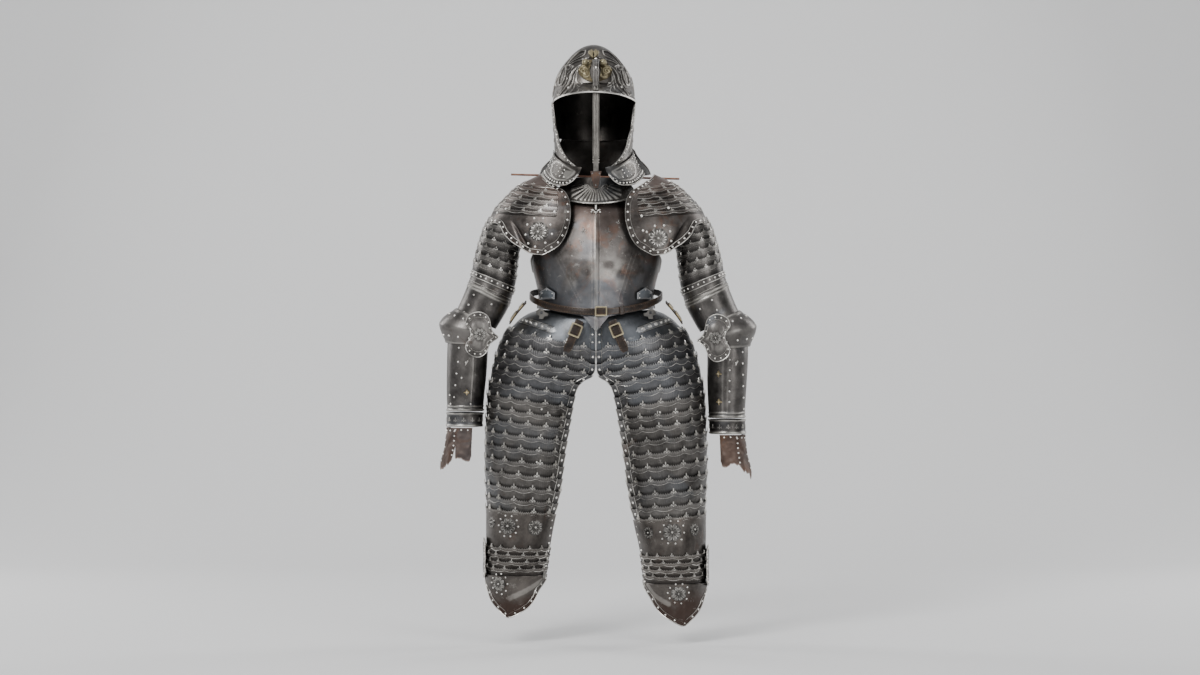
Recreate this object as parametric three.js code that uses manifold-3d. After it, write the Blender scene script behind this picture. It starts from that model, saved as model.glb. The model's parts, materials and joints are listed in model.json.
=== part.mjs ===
// Three-quarter suit of plate armour, standing open and empty, millimetres, +Z up, front towards -Y.
// The origin is the middle of the neck base, on the support rod. "right" and "left" are the wearer's:
// right is -X, left is +X. Every plate is an open-ended wall worked out from rings in the tables below.
import * as THREE from 'three';
import { mergeVertices } from 'three/addons/utils/BufferGeometryUtils.js';
import Module from 'manifold-3d';

const wasm = await Module();
wasm.setup();

// ---------------------------------------------------------------- driving sizes
const WALL = 2.0;              // steel plate, with its turned edges averaged in
const LAP = 3.5;               // how far a lame's upper edge stands off the plate it covers
const LAP_UP = 3.0;            // how far a lame reaches up over the plate above it
const LEATHER = 3.0;           // belt and strap thickness
const SKULL_X = -6;            // middle of the helmet bowl
const SKULL_TOP = 315;
const PEAK_REACH = 40;         // how far the peak stands out in front of the brow
const PEAK_START = 212;        // height where the peak leaves the bowl
const NAPE_Z = 92;             // lower edge of the bowl at the nape
const NASAL_Y = -146;          // middle plane of the nasal bar
const NASAL_WIDTH = 16;
const NASAL_THICK = 5;
const NASAL_LOW = -9;          // its tip sits 12 mm deep in the bracket
const NASAL_HIGH = 222;
const SLOT_PLAY = 1.0;         // clearance round the nasal bar
const LAMES_PER_THIGH = 14;
const THIGH_TOP = -409;        // ring height of the first thigh lame
const THIGH_END = -811;        // ring height where the knee plate begins
const KNEE_END = -890;
const KNEE_LAMES_END = -955;
const THIGH_BACK = 118;        // degrees the leg plates wrap round the outside
const LEFT_LEG_DROP = 20;      // the wearer's left leg hangs this much lower at its tip
const LEFT_ARM_OUT = 9;        // the wearer's left shoulder stands this much further out
const LEFT_ARM_DROP = 18;      // and its hand hangs this much lower
const ROD_DIAMETER = 5;
const ROD_Y = 30;              // the rod runs this far behind the middle plane of the body
const BELT_HEIGHT = 15;

const RIGHT = -1, LEFT = 1;
const deg = d => d * Math.PI / 180;
const V = (x, y, z) => new THREE.Vector3(x, y, z);
const lerp = (a, b, t) => a + (b - a) * t;
const clamp01 = t => Math.min(1, Math.max(0, t));
const smooth = t => { t = clamp01(t); return t * t * (3 - 2 * t); };

// ---------------------------------------------------------------- tables of named columns
// Rows are joined by monotone cubics on the first column.
function table(names, rows) {
  const list = rows.map(r => Object.fromEntries(names.map((n, i) => [n, r[i]])));
  const key = names[0];
  list.sort((p, q) => p[key] - q[key]);
  const slope = (n, i) => {
    if (i === 0 || i === list.length - 1) {
      const j = i === 0 ? 0 : i - 1;
      return (list[j + 1][n] - list[j][n]) / (list[j + 1][key] - list[j][key]);
    }
    const a = (list[i][n] - list[i - 1][n]) / (list[i][key] - list[i - 1][key]);
    const b = (list[i + 1][n] - list[i][n]) / (list[i + 1][key] - list[i][key]);
    return a * b <= 0 ? 0 : 2 * a * b / (a + b);
  };
  return k => {
    let i = 0;
    while (i < list.length - 2 && k > list[i + 1][key]) i++;
    const p = list[i], q = list[i + 1], h = q[key] - p[key];
    const t = clamp01((k - p[key]) / h);
    const out = { [key]: k };
    for (const n of names.slice(1)) {
      const m0 = slope(n, i) * h, m1 = slope(n, i + 1) * h;
      out[n] = (2 * t ** 3 - 3 * t ** 2 + 1) * p[n] + (t ** 3 - 2 * t ** 2 + t) * m0
        + (-2 * t ** 3 + 3 * t ** 2) * q[n] + (t ** 3 - t ** 2) * m1;
    }
    return out;
  };
}

// ---------------------------------------------------------------- walls
// A wall from a grid of outer points: rows down, columns round. `base` gives the directions that the
// wall is thickened in, `closed` joins the last column to the first, `cap` closes the first row.
function wall(outer, thick = WALL, { closed = false, cap = false, base = outer, inside = null } = {}) {
  const R = outer.length, C = outer[0].length;
  const at = (g, i, j) => g[Math.min(R - 1, Math.max(0, i))][closed ? (j + C) % C : Math.min(C - 1, Math.max(0, j))];
  const mid = inside || base.flat().reduce((s, p) => s.add(p), V(0, 0, 0)).divideScalar(R * C);
  let sign = 0;
  const normals = base.map((row, i) => row.map((p, j) => {
    const du = at(base, i + 1, j).clone().sub(at(base, i - 1, j));
    const dv = at(base, i, j + 1).clone().sub(at(base, i, j - 1));
    const n = du.cross(dv).normalize();
    sign += n.dot(p.clone().sub(mid));
    return n;
  }));
  const s = sign < 0 ? -1 : 1;
  const pos = [];
  const push = p => { pos.push(p.x, p.y, p.z); return pos.length / 3 - 1; };
  const o = outer.map(row => row.map(push));
  const n = outer.map((row, i) => row.map((p, j) => push(p.clone().addScaledVector(normals[i][j], -s * thick))));
  const tri = [];
  const quad = (a, b, c, d) => tri.push(a, b, c, a, c, d);
  const CC = closed ? C : C - 1;
  for (let i = 0; i < R - 1; i++) for (let j = 0; j < CC; j++) {
    const k = (j + 1) % C;
    quad(o[i][j], o[i][k], o[i + 1][k], o[i + 1][j]);
    quad(n[i][j], n[i + 1][j], n[i + 1][k], n[i][k]);
  }
  for (let j = 0; j < CC; j++) {
    const k = (j + 1) % C;
    if (!cap) quad(o[0][j], n[0][j], n[0][k], o[0][k]);
    quad(o[R - 1][j], o[R - 1][k], n[R - 1][k], n[R - 1][j]);
  }
  if (!closed) for (let i = 0; i < R - 1; i++) {
    quad(o[i][0], o[i + 1][0], n[i + 1][0], n[i][0]);
    quad(o[i][C - 1], n[i][C - 1], n[i + 1][C - 1], o[i + 1][C - 1]);
  }
  if (cap) {
    const centre = row => row.reduce((q, p) => q.add(p), V(0, 0, 0)).divideScalar(C);
    const top = centre(outer[0]).add(V(0, 0, 1));
    const a = push(top), b = push(top.clone().add(V(0, 0, -thick)));
    for (let j = 0; j < C; j++) {
      const k = (j + 1) % C;
      tri.push(a, o[0][k], o[0][j]);
      tri.push(b, n[0][j], n[0][k]);
    }
  }
  return solid(pos, tri);
}

function volume(pos, tri) {
  let v = 0;
  const p = i => V(pos[3 * i], pos[3 * i + 1], pos[3 * i + 2]);
  for (let i = 0; i < tri.length; i += 3) v += p(tri[i]).dot(p(tri[i + 1]).cross(p(tri[i + 2])));
  return v / 6;
}

function solid(pos, tri) {
  if (volume(pos, tri) < 0) for (let i = 0; i < tri.length; i += 3) [tri[i], tri[i + 1]] = [tri[i + 1], tri[i]];
  const g = new THREE.BufferGeometry();
  g.setAttribute('position', new THREE.BufferAttribute(new Float32Array(pos), 3));
  g.setIndex(tri);
  return g;
}

const moved = (g, f) => {           // a geometry with every point passed through f, still facing out
  const m = bare(g), pos = Array.from(m.attributes.position.array), tri = Array.from(m.index.array);
  for (let i = 0; i < pos.length; i += 3) {
    const q = f(V(pos[i], pos[i + 1], pos[i + 2]));
    pos[i] = q.x; pos[i + 1] = q.y; pos[i + 2] = q.z;
  }
  return solid(pos, tri);
};
const bare = g => {
  const c = g.clone();
  for (const k of Object.keys(c.attributes)) if (k !== 'position') c.deleteAttribute(k);
  return mergeVertices(c, 1e-3);
};
const toManifold = g => {
  const m = bare(g);
  return new wasm.Manifold(new wasm.Mesh({ numProp: 3, vertProperties: new Float32Array(m.attributes.position.array), triVerts: new Uint32Array(m.index.array) }));
};
const fromManifold = m => {
  const mesh = m.getMesh();
  const g = new THREE.BufferGeometry();
  g.setAttribute('position', new THREE.BufferAttribute(new Float32Array(mesh.vertProperties), 3));
  g.setIndex(Array.from(mesh.triVerts));
  return g;
};
const join = (...gs) => fromManifold(gs.map(toManifold).reduce((a, b) => a.add(b)));
const cut = (g, ...tools) => fromManifold(tools.map(toManifold).reduce((a, b) => a.subtract(b), toManifold(g)));
const box = (w, d, h, x, y, z) => new THREE.BoxGeometry(w, d, h).translate(x, y, z);
const grid = (rows, cols, f) => Array.from({ length: rows }, (_, i) => Array.from({ length: cols }, (_, j) => f(i, j)));

// A ring point: centre, half width w, front half depth f, back half depth b, sloped by `tilt` along X.
// Angle 0 is the front, positive towards +X.
const ring = (s, a, off = 0) => {
  const c = Math.cos(a), u = (s.w + off) * Math.sin(a);
  return V((s.x || 0) + u, (s.y || 0) - ((c > 0 ? s.f : s.b) + off) * c, s.z + u * (s.tilt || 0));
};

// ---------------------------------------------------------------- group and materials
const group = new THREE.Group();
const finish = {
  steel: new THREE.MeshStandardMaterial({ color: 0x6d6864, roughness: 0.42, metalness: 0.85 }),
  bluish: new THREE.MeshStandardMaterial({ color: 0x7a7d80, roughness: 0.4, metalness: 0.85 }),
  bright: new THREE.MeshStandardMaterial({ color: 0xa9a59c, roughness: 0.35, metalness: 0.9 }),
  russet: new THREE.MeshStandardMaterial({ color: 0x6a4f42, roughness: 0.6, metalness: 0.6 }),
  brass: new THREE.MeshStandardMaterial({ color: 0xb08d4c, roughness: 0.35, metalness: 0.9 }),
  leather: new THREE.MeshStandardMaterial({ color: 0x2c1b12, roughness: 0.7, metalness: 0.0 }),
};
function add(name, geometry, material) {
  const mesh = new THREE.Mesh(geometry, finish[material]);
  mesh.name = name;
  group.add(mesh);
}
const sideName = side => side === RIGHT ? 'right' : 'left';

// ================================================================ helmet
const bowl = table(['z', 'w', 'f', 'b'], [
  [313, 13, 16, 18], [307, 29, 36, 38], [295, 46, 57, 60], [283, 58, 72, 76], [270, 69, 86, 90],
  [255, 80, 99, 102], [240, 88, 108, 110], [220, 94, 115, 116], [193, 97, 118, 118], [177, 97.5, 118, 118],
  [150, 96, 117, 116], [120, 93, 115, 113], [92, 90, 113, 110],
]);
const BROW_ANGLE = 73, TEMPLE_ANGLE = 84;
const fromFront = a => Math.abs(Math.atan2(Math.sin(a), Math.cos(a))) * 180 / Math.PI;
const skullEnd = a => {
  const d = fromFront(a);
  return d <= BROW_ANGLE ? 188 - 10 * (d / BROW_ANGLE) ** 2
    : lerp(178, NAPE_Z, smooth((d - BROW_ANGLE) / (TEMPLE_ANGLE - BROW_ANGLE)));
};
function skullPoint(a, t) {
  const end = skullEnd(a), d = fromFront(a);
  const z = lerp(SKULL_TOP, end, 1 - Math.cos(t * Math.PI / 2));
  const s = { x: SKULL_X, ...bowl(z) };
  const reach = d < BROW_ANGLE ? PEAK_REACH * Math.cos(deg(90 * d / BROW_ANGLE)) : 0;
  const out = z < PEAK_START && reach ? reach * (PEAK_START - z) / (PEAK_START - end) : 0;
  const p = ring(s, a);
  const dir = V(Math.sin(a) * 0.35, -Math.cos(a), 0).normalize();
  return p.addScaledVector(dir, out);
}
const SKULL_COLUMNS = 26, SKULL_ROWS = 7;
const skullSlot = box(NASAL_WIDTH + 2 * SLOT_PLAY, NASAL_THICK + 2 * SLOT_PLAY, 90, 0, NASAL_Y, 205);
add('helmet_skull', cut(wall(
  grid(SKULL_ROWS, SKULL_COLUMNS, (i, j) => skullPoint(deg(360 * j / SKULL_COLUMNS), (i + 0.9) / (SKULL_ROWS - 0.1))),
  WALL, { closed: true, cap: true, inside: V(SKULL_X, 0, 150) }), skullSlot), 'steel');

// arched hook over the upper end of the nasal bar, standing on the bowl
const hookPath = table(['s', 'y', 'z', 'w'], [
  [0, -93, 267, 9], [0.25, -125, 268, 9], [0.5, -150, 260, 8.5], [0.75, -159, 238, 7.5], [1, -160, 203, 6],
]);
add('brow_hook', wall(grid(9, 2, (i, j) => {
  const s = hookPath(i / 8);
  return V((j ? 1 : -1) * s.w, s.y, s.z);
}), 3, { inside: V(0, -60, 150) }), 'steel');

// gilt scrolled ornament lying on the brow, with two balls
function browPoint(x, z, off) {
  const a = Math.asin(Math.max(-0.95, Math.min(0.95, (x - SKULL_X) / bowl(z).w)));
  return ring({ x: SKULL_X, ...bowl(z) }, a, off);
}
const ornament = table(['z', 'half'], [[216, 8], [224, 26], [236, 36], [248, 38], [256, 30], [262, 28], [270, 14]]);
const ornamentPlate = wall(grid(7, 7, (i, j) => {
  const z = lerp(270, 216, i / 6);
  return browPoint(-2 + ornament(z).half * (j / 3 - 1), z, 6.5);
}), 3, { inside: V(0, 0, 200) });
const ball = x => new THREE.SphereGeometry(9, 8, 6).translate(x, browPoint(x, 262, 13).y, 262);
add('brow_ornament', cut(join(ornamentPlate, ball(-20), ball(18)), box(22, 60, 70, 0, -122, 262),
  box(24, 30, 90, 0, NASAL_Y + 5, 225)), 'brass');

// nasal bar: flat bar with a ringed lower end that sits in the bracket
const nasalRings = [[24, 3.2], [30, 3.2], [36, 2.6]];
add('nasal_bar', join(
  box(NASAL_WIDTH, NASAL_THICK, NASAL_HIGH - 38, 0, NASAL_Y, (NASAL_HIGH + 38) / 2),
  box(12, NASAL_THICK, 50, 0, NASAL_Y, NASAL_LOW + 25),
  ...nasalRings.map(([z, h]) => box(16, 8, h, 0, NASAL_Y, z))), 'bright');

// cheeks: columns give the ring and the angles of the front and back edge
const cheek = table(['z', 'w', 'f', 'front', 'back'], [
  [175, 101, 121, 75, 118], [150, 99.5, 118, 71, 118], [120, 97, 117, 69, 118], [95, 95, 116, 63, 114],
  [70, 94, 115, 57, 104], [50, 92.5, 114, 49, 86], [30, 91.5, 115, 38, 62], [12, 91, 116, 23, 44],
]);
const mirror = (p, side) => side === RIGHT ? p : V(-p.x, p.y, p.z);
const headX = side => side === RIGHT ? SKULL_X : -SKULL_X;     // cheeks follow the bowl's middle
for (const side of [RIGHT, LEFT]) {
  add(`cheek_${sideName(side)}`, wall(grid(8, 5, (i, j) => {
    const s = cheek(lerp(175, 12, i / 7));
    const a = -deg(lerp(s.front, s.back, j / 4));
    return mirror(ring({ ...s, x: headX(side), b: s.f }, a), side);
  }), WALL, { inside: V(0, 0, 90) }), 'steel');
}

// neck guard at the nape, three flared lames in one piece
const nape = table(['z', 'w', 'b', 'edge'], [
  [98, 95, 121, 124], [72, 96, 123, 112], [58, 99, 127, 103], [40, 110, 137, 100], [16, 131, 154, 99],
]);
add('neck_guard', wall(grid(7, 11, (i, j) => {
  const z = lerp(98, 16, i / 6), s = nape(z);
  return ring({ x: -2, f: s.b, ...s }, deg(lerp(s.edge, 360 - s.edge, j / 10)), i % 2 ? 1.5 : 0);
}), WALL, { inside: V(0, 0, 60) }), 'steel');

// collar plates flaring below the cheeks, a column for each angle
const collar = table(['angle', 'top', 'rim'], [
  [17, 14, -4], [25, 17, -20], [35, 19, -28], [48, 27, -26], [62, 38, -17], [78, 51, -3], [95, 63, 8],
]);
const collarPoint = (angle, t) => {
  const c = collar(angle);
  return { z: lerp(c.top, c.rim, t), w: lerp(96.5, 122, t ** 1.6), f: lerp(121, 133, t ** 1.6), b: lerp(121, 133, t ** 1.6) };
};
for (const side of [RIGHT, LEFT]) {
  add(`collar_${sideName(side)}`, wall(grid(5, 7, (i, j) => {
    const angle = lerp(17, 95, j / 6);
    return mirror(ring({ ...collarPoint(angle, i / 4), x: headX(side) }, -deg(angle)), side);
  }), WALL, { inside: V(0, 0, 0) }), 'steel');
}

// gorget, front with a fluted crescent and plain back
const GORGET_ANGLE = 62;
const gorgetRim = a => -72 + 26 * (Math.abs(a) / deg(GORGET_ANGLE)) ** 2;
add('gorget_front', wall(grid(4, 19, (i, j) => {
  const a = deg(lerp(-GORGET_ANGLE, GORGET_ANGLE, j / 18)), t = i / 3;
  return ring({ z: lerp(-12, gorgetRim(a), t), w: lerp(82, 113, t), f: lerp(96, 132, t), b: 96 }, a, j % 2 ? 1.5 : 0);
}), WALL, { inside: V(0, 0, -20) }), 'steel');
add('gorget_back', wall(grid(4, 11, (i, j) => {
  const a = deg(lerp(112, 248, j / 10)), t = i / 3;
  return ring({ z: lerp(-12, -52, t), w: lerp(82, 106, t), f: 96, b: lerp(88, 112, t) }, a);
}), WALL, { inside: V(0, 0, -20) }), 'steel');

// bracket on the gorget with the socket for the nasal bar
const bracketShape = new THREE.Shape([[-13, 3], [13, 3], [7, -26], [4, -36], [-4, -36], [-7, -26]].map(p => new THREE.Vector2(...p)));
const bracketBody = new THREE.ExtrudeGeometry(bracketShape, { depth: 14, bevelEnabled: false }).rotateX(Math.PI / 2).translate(0, NASAL_Y + 7, 0);
const bracketArm = box(8, 26, 8, 0, NASAL_Y + 17, -26);
const socket = box(12 + 2 * SLOT_PLAY, NASAL_THICK + 2 * SLOT_PLAY, 40, 0, NASAL_Y, NASAL_LOW - 1 + 20);
add('nasal_bracket', cut(join(bracketBody, bracketArm), socket), 'russet');

// rod through the neck that the armour is held on
add('support_rod', new THREE.CylinderGeometry(ROD_DIAMETER / 2, ROD_DIAMETER / 2, 406, 8)
  .rotateZ(Math.PI / 2).rotateY(deg(1.5)).translate(-2, ROD_Y, 0), 'russet');

// ================================================================ body
const breast = table(['z', 'w', 'f', 'wrap'], [
  [-58, 92, 106, 46], [-80, 116, 119, 50], [-105, 136, 129, 53], [-140, 152, 139, 58], [-170, 158, 145, 64],
  [-192, 158, 148, 72], [-207, 156, 150, 84], [-230, 151, 151, 88], [-262, 143, 152, 88], [-292, 137, 151, 88],
  [-318, 140, 152, 88], [-345, 146, 154, 88], [-380, 154, 156, 88],
]);
const RIDGE = 6;                                      // keel of the breastplate
const breastEnd = x => Math.abs(x) < 30 ? lerp(-374, -338, Math.abs(x) / 30) : lerp(-338, -318, clamp01((Math.abs(x) - 30) / 110));
function breastPoint(z, a, off = 0) {
  const p = ring({ ...breast(z), b: 150 }, a, off);
  p.y -= RIDGE * Math.exp(-((a / deg(9)) ** 2)) * smooth((-z - 58) / 60);
  return p;
}
const BREAST_ROWS = 10, BREAST_COLUMNS = 17;
add('breastplate', wall(grid(BREAST_ROWS, BREAST_COLUMNS, (i, j) => {
  const k = 2 * j / (BREAST_COLUMNS - 1) - 1;
  const g = Math.sign(k) * Math.abs(k) ** 1.25;
  const z0 = lerp(-58, -320, i / (BREAST_ROWS - 1));
  const a = deg(breast(z0).wrap) * g;
  const end = breastEnd(ring({ ...breast(-340), b: 0 }, a).x);
  const z = lerp(-58 - (Math.abs(k) < 0.4 ? 6 * (1 - (k / 0.4) ** 2) : 0), end, i / (BREAST_ROWS - 1));
  return breastPoint(z, a);
}), WALL, { inside: V(0, 0, -200) }), 'bluish');

const back = table(['z', 'w', 'b', 'edge'], [
  [-48, 96, 100, 138], [-75, 122, 112, 130], [-110, 142, 120, 124], [-150, 154, 122, 117], [-185, 157, 119, 108],
  [-207, 154, 116, 96], [-240, 147, 109, 92], [-285, 137, 103, 92], [-318, 141, 106, 92],
]);
add('backplate', wall(grid(8, 11, (i, j) => {
  const z = lerp(-48, -318, i / 7), s = back(z);
  return ring({ ...s, f: s.b }, deg(lerp(s.edge, 360 - s.edge, j / 10)));
}), WALL, { inside: V(0, 0, -200) }), 'steel');

// small five-sided plates at the waist, laid on the breastplate
for (const side of [RIGHT, LEFT]) {
  add(`waist_plate_${sideName(side)}`, wall(grid(4, 4, (i, j) => {
    const x = lerp(-129, -94, j / 3);
    const top = -269 - 12 * Math.abs(j / 3 - 0.45) * 2;
    const z = lerp(top, -297, i / 3);
    const a = Math.asin(x / breast(z).w);
    return mirror(breastPoint(z, a, 5.5), side);
  }), WALL, { inside: V(0, 0, -280) }), 'bright');
}

// belt round the waist: low in front, higher at the sides
const beltAt = a => ({ z: -274 - 53 * ((1 + Math.cos(a)) / 2) ** 2, w: 160, f: 166, b: 116 });
const BELT_COLUMNS = 30;
add('belt', wall(grid(2, BELT_COLUMNS, (i, j) => {
  const a = deg(360 * j / BELT_COLUMNS), s = beltAt(a);
  return ring({ ...s, z: s.z + (i ? -BELT_HEIGHT / 2 : BELT_HEIGHT / 2) }, a);
}), LEATHER, { closed: true, inside: V(0, 0, -290) }), 'leather');
function frameShape(w, h, t, depth) {
  const s = new THREE.Shape([[-w / 2, -h / 2], [w / 2, -h / 2], [w / 2, h / 2], [-w / 2, h / 2]].map(p => new THREE.Vector2(...p)));
  s.holes.push(new THREE.Path([[-w / 2 + t, -h / 2 + t], [-w / 2 + t, h / 2 - t], [w / 2 - t, h / 2 - t], [w / 2 - t, -h / 2 + t]].map(p => new THREE.Vector2(...p))));
  return new THREE.ExtrudeGeometry(s, { depth, bevelEnabled: false }).rotateX(Math.PI / 2);   // faces -Y, thickness along Y
}
add('belt_buckle', frameShape(29, 23, 3.6, 4).translate(12, -166.6, -326), 'brass');
add('belt_keeper', moved(frameShape(10, 21, 1.6, 9), p => {
  const x = 62 + p.x, y0 = beltAt(Math.asin(x / 160));
  return V(x, p.y - 166 * Math.sqrt(1 - (x / 160) ** 2) - 0.6 + 0.0, y0.z + p.z);
}), 'leather');

// ================================================================ arms
const ARM = ['k', 'x', 'z', 'slope', 'w', 'd'];
const armRows = table(ARM, [
  [0, -221, -131, 14, 46, 56], [1, -231, -165, 17, 48, 57], [2, -239, -205, 19, 51, 58], [3, -246, -246, 22, 54, 60],
  [4, -256, -281, 26, 56, 60], [5, -273, -318, 26, 54, 58], [6, -288, -346, 24, 52, 57],
]);
const foreRows = table(['z', 'x', 'slope', 'w', 'd'], [
  [-384, -305, 8, 50, 55], [-420, -308, 3, 49, 54], [-470, -310, 0, 48, 52], [-530, -313, 0, 45, 48],
  [-566, -314, 0, 43, 45], [-604, -316, 0, 42, 43],
]);
const armPlace = (p, side) => {
  if (side === RIGHT) return p;
  const out = LEFT_ARM_OUT * (1 - smooth((-p.z - 380) / 180));
  const drop = LEFT_ARM_DROP * smooth((-p.z - 120) / 560);
  return V(-p.x + out, p.y, p.z - drop);
};
const armRing = (s, a, off = 0) => ring({ x: s.x, y: -4, z: s.z, w: s.w, f: s.d, b: s.d, tilt: -Math.tan(deg(s.slope)) }, a, off);
// columns follow the plate's own half width, so the ring keeps its true width when it slopes
const armRingTrue = (s, a, off = 0) => armRing({ ...s, w: s.w * Math.cos(deg(s.slope)) }, a, off);

const cap = table(['s', 'ix', 'iy', 'iz', 'ox', 'oz'], [
  [0, -112, -40, -14, -130, 5], [1, -94, -78, -28, -164, -11], [2, -70, -112, -46, -190, -26], [3, -61, -126, -68, -216, -50],
  [4, -59, -134, -92, -240, -76], [5, -60, -138, -110, -253, -97], [6, -65, -140, -131, -261, -118],
  [7, -72, -140, -150, -266, -149], [8, -87, -138, -172, -270, -172], [9, -125, -130, -194, -272, -195],
]);
const capEnd = table(['p', 'front', 'rear'], [
  [0, 9, 8.2], [0.07, 8.85, 8], [0.19, 7.9, 7], [0.265, 6.9, 6.3], [0.32, 5.95, 5.8], [0.36, 5.8, 5.75], [0.5, 5.8, 5.75],
]);
const REAR_DEPTH = 0.9;
function capPoint(s, p, off = 0) {
  const r = cap(s), rear = p > 0.5, q = rear ? 1 - p : p, f = Math.PI * q;
  return V(r.ix + (r.ox - off - r.ix) * Math.sin(f), (r.iy - off) * Math.cos(f) * (rear ? -REAR_DEPTH : 1), r.iz + (r.oz - r.iz) * Math.sin(f) ** 2);
}
const ARM_COLUMNS = 12;
const armTube = (from, to, steps, rowOf, lames) => {
  const rows = [], base = [];
  const push = (k, off) => {
    const s = rowOf(k);
    base.push(Array.from({ length: ARM_COLUMNS }, (_, j) => armRingTrue(s, deg(360 * j / ARM_COLUMNS))));
    rows.push(Array.from({ length: ARM_COLUMNS }, (_, j) => armRingTrue(s, deg(360 * j / ARM_COLUMNS), off)));
  };
  if (lames) for (let i = 0; i < lames; i++) {
    const k0 = lerp(from, to, i / lames), k1 = lerp(from, to, (i + 1) / lames), e = (k1 - k0) * 0.12;
    push(i ? k0 + e : k0, LAP);
    push(k1, 0);
  } else for (let i = 0; i <= steps; i++) push(lerp(from, to, i / steps), 0);
  return [rows, base];
};
for (const side of [RIGHT, LEFT]) {
  const n = sideName(side);
  const CR = 9, CC = 15;
  add(`pauldron_${n}`, wall(grid(CR, CC, (i, j) => {
    const p = j / (CC - 1), e = capEnd(p > 0.5 ? 1 - p : p);
    return armPlace(capPoint(lerp(0, p > 0.5 ? e.rear : e.front, i / (CR - 1)), p), side);
  }), WALL, { inside: armPlace(V(-130, 0, -120), side) }), 'steel');

  const [lr, lb] = armTube(0, 3, 0, armRows, 3);
  add(`arm_lames_${n}`, wall(lr.map(r => r.map(p => armPlace(p, side))), WALL, { closed: true, base: lb.map(r => r.map(p => armPlace(p, side))) }), 'steel');

  const cannon = [[3.03, LAP], [3.9, 1], [4.0, 3.5], [4.12, 1], [5, 0], [6, 0]];
  add(`upper_cannon_${n}`, wall(cannon.map(([k, off]) => Array.from({ length: ARM_COLUMNS }, (_, j) => armPlace(armRingTrue(armRows(k), deg(360 * j / ARM_COLUMNS), off), side))),
    WALL, { closed: true, base: cannon.map(([k]) => Array.from({ length: ARM_COLUMNS }, (_, j) => armPlace(armRingTrue(armRows(k), deg(360 * j / ARM_COLUMNS)), side))) }), 'steel');

  // elbow cup, open at the inside of the bend
  const cup = table(['z', 'x', 'slope', 'w', 'd'], [
    [-338, -285, 24, 57, 62], [-352, -295, 18, 66, 67], [-369, -303, 12, 73, 70], [-388, -305, 8, 66, 67], [-405, -307, 5, 56, 60],
  ]);
  add(`couter_${n}`, wall(grid(6, 11, (i, j) => armPlace(armRingTrue(cup(lerp(-338, -405, i / 5)), deg(lerp(14, -200, j / 10))), side)),
    WALL, { inside: armPlace(V(-290, 0, -370), side) }), 'steel');

  // heart-shaped wing in front of the bend
  const outline = new THREE.Shape();
  outline.moveTo(-318, -372);
  outline.bezierCurveTo(-312, -340, -300, -325, -283, -325);
  outline.bezierCurveTo(-262, -326, -264, -352, -256, -366);
  outline.bezierCurveTo(-250, -376, -242, -384, -233, -390);
  outline.bezierCurveTo(-248, -398, -262, -412, -270, -424);
  outline.bezierCurveTo(-280, -440, -304, -440, -314, -422);
  outline.bezierCurveTo(-320, -408, -320, -390, -318, -372);
  const flat = new THREE.ExtrudeGeometry(outline, { depth: WALL, bevelEnabled: false, curveSegments: 4 });
  add(`couter_wing_${n}`, moved(flat, p => armPlace(V(p.x, -79 + p.z + 14 * clamp01((p.x + 285) / 52) ** 2, p.y), side)), 'steel');

  const fore = [[-384, 0], [-420, 0], [-470, 0], [-520, 0], [-556, 0], [-563, 3.5]];
  const foreWall = rows => wall(rows.map(([z, off]) => Array.from({ length: ARM_COLUMNS }, (_, j) => armPlace(armRingTrue(foreRows(z), deg(360 * j / ARM_COLUMNS), off), side))),
    WALL, { closed: true, base: rows.map(([z]) => Array.from({ length: ARM_COLUMNS }, (_, j) => armPlace(armRingTrue(foreRows(z), deg(360 * j / ARM_COLUMNS)), side))) });
  add(`lower_cannon_${n}`, foreWall(fore), 'steel');
  add(`cuff_${n}`, foreWall([[-567, 3.5], [-573, 0.5], [-590, 0.5], [-600, 2.5]]), 'steel');

  // torn hand plates under the cuff
  const hand = table(['z', 'x', 'w', 'd'], [[-604, -316, 42, 43], [-640, -318, 43, 42], [-690, -322, 51, 40], [-720, -323, 53, 38]]);
  const torn = table(['angle', 'end'], [[-125, -672], [-95, -695], [-75, -713], [-50, -700], [-28, -684], [-5, -678], [18, -684], [30, -676]]);
  add(`hand_plate_${n}`, wall(grid(5, 10, (i, j) => {
    const angle = lerp(-125, 30, j / 9), z = lerp(-603, torn(angle).end, i / 4), s = hand(z);
    return armPlace(armRing({ ...s, slope: 0 }, deg(angle)), side);
  }), WALL, { inside: armPlace(V(-316, 0, -650), side) }), 'russet');
}

// ================================================================ legs
const legRows = table(['z', 'x', 'w', 'f', 'slope', 'inner'], [
  [-334, 0, 136, 138, 0.10, -4.8], [-355, -8, 157, 144, 0.15, -4.8], [-380, -22, 168, 145, 0.18, -4.8],
  [-409, -45, 169, 145, 0.207, -4.8], [-437, -72, 158, 143, 0.19, -5.5], [-450, -86, 150, 141, 0.18, -12],
  [-463, -98, 142, 139, 0.17, -34], [-490, -120, 127, 134, 0.155, -47], [-528, -143, 113, 127, 0.145, -54],
  [-576, -155, 104.5, 120, 0.13, -62.5], [-655, -162, 101, 114, 0.11, -75], [-720, -167, 96, 110, 0.095, -83],
  [-768, -170, 90.5, 108, 0.08, -91], [-811, -175, 85, 107, 0.06, -100], [-864, -182, 80, 108, 0.04, -108],
  [-890, -184, 78, 106, 0.03, -111], [-955, -188, 74, 98, 0, -120], [-1060, -194, 64, 84, 0, -130],
]);
const legPlace = (p, side) => {
  if (side === RIGHT) return p;
  return V(-p.x, p.y, p.z - LEFT_LEG_DROP * smooth((-p.z - 440) / 560));
};
const legInner = side => side === RIGHT ? 0 : 6;       // the left leg reaches this much further in
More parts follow.
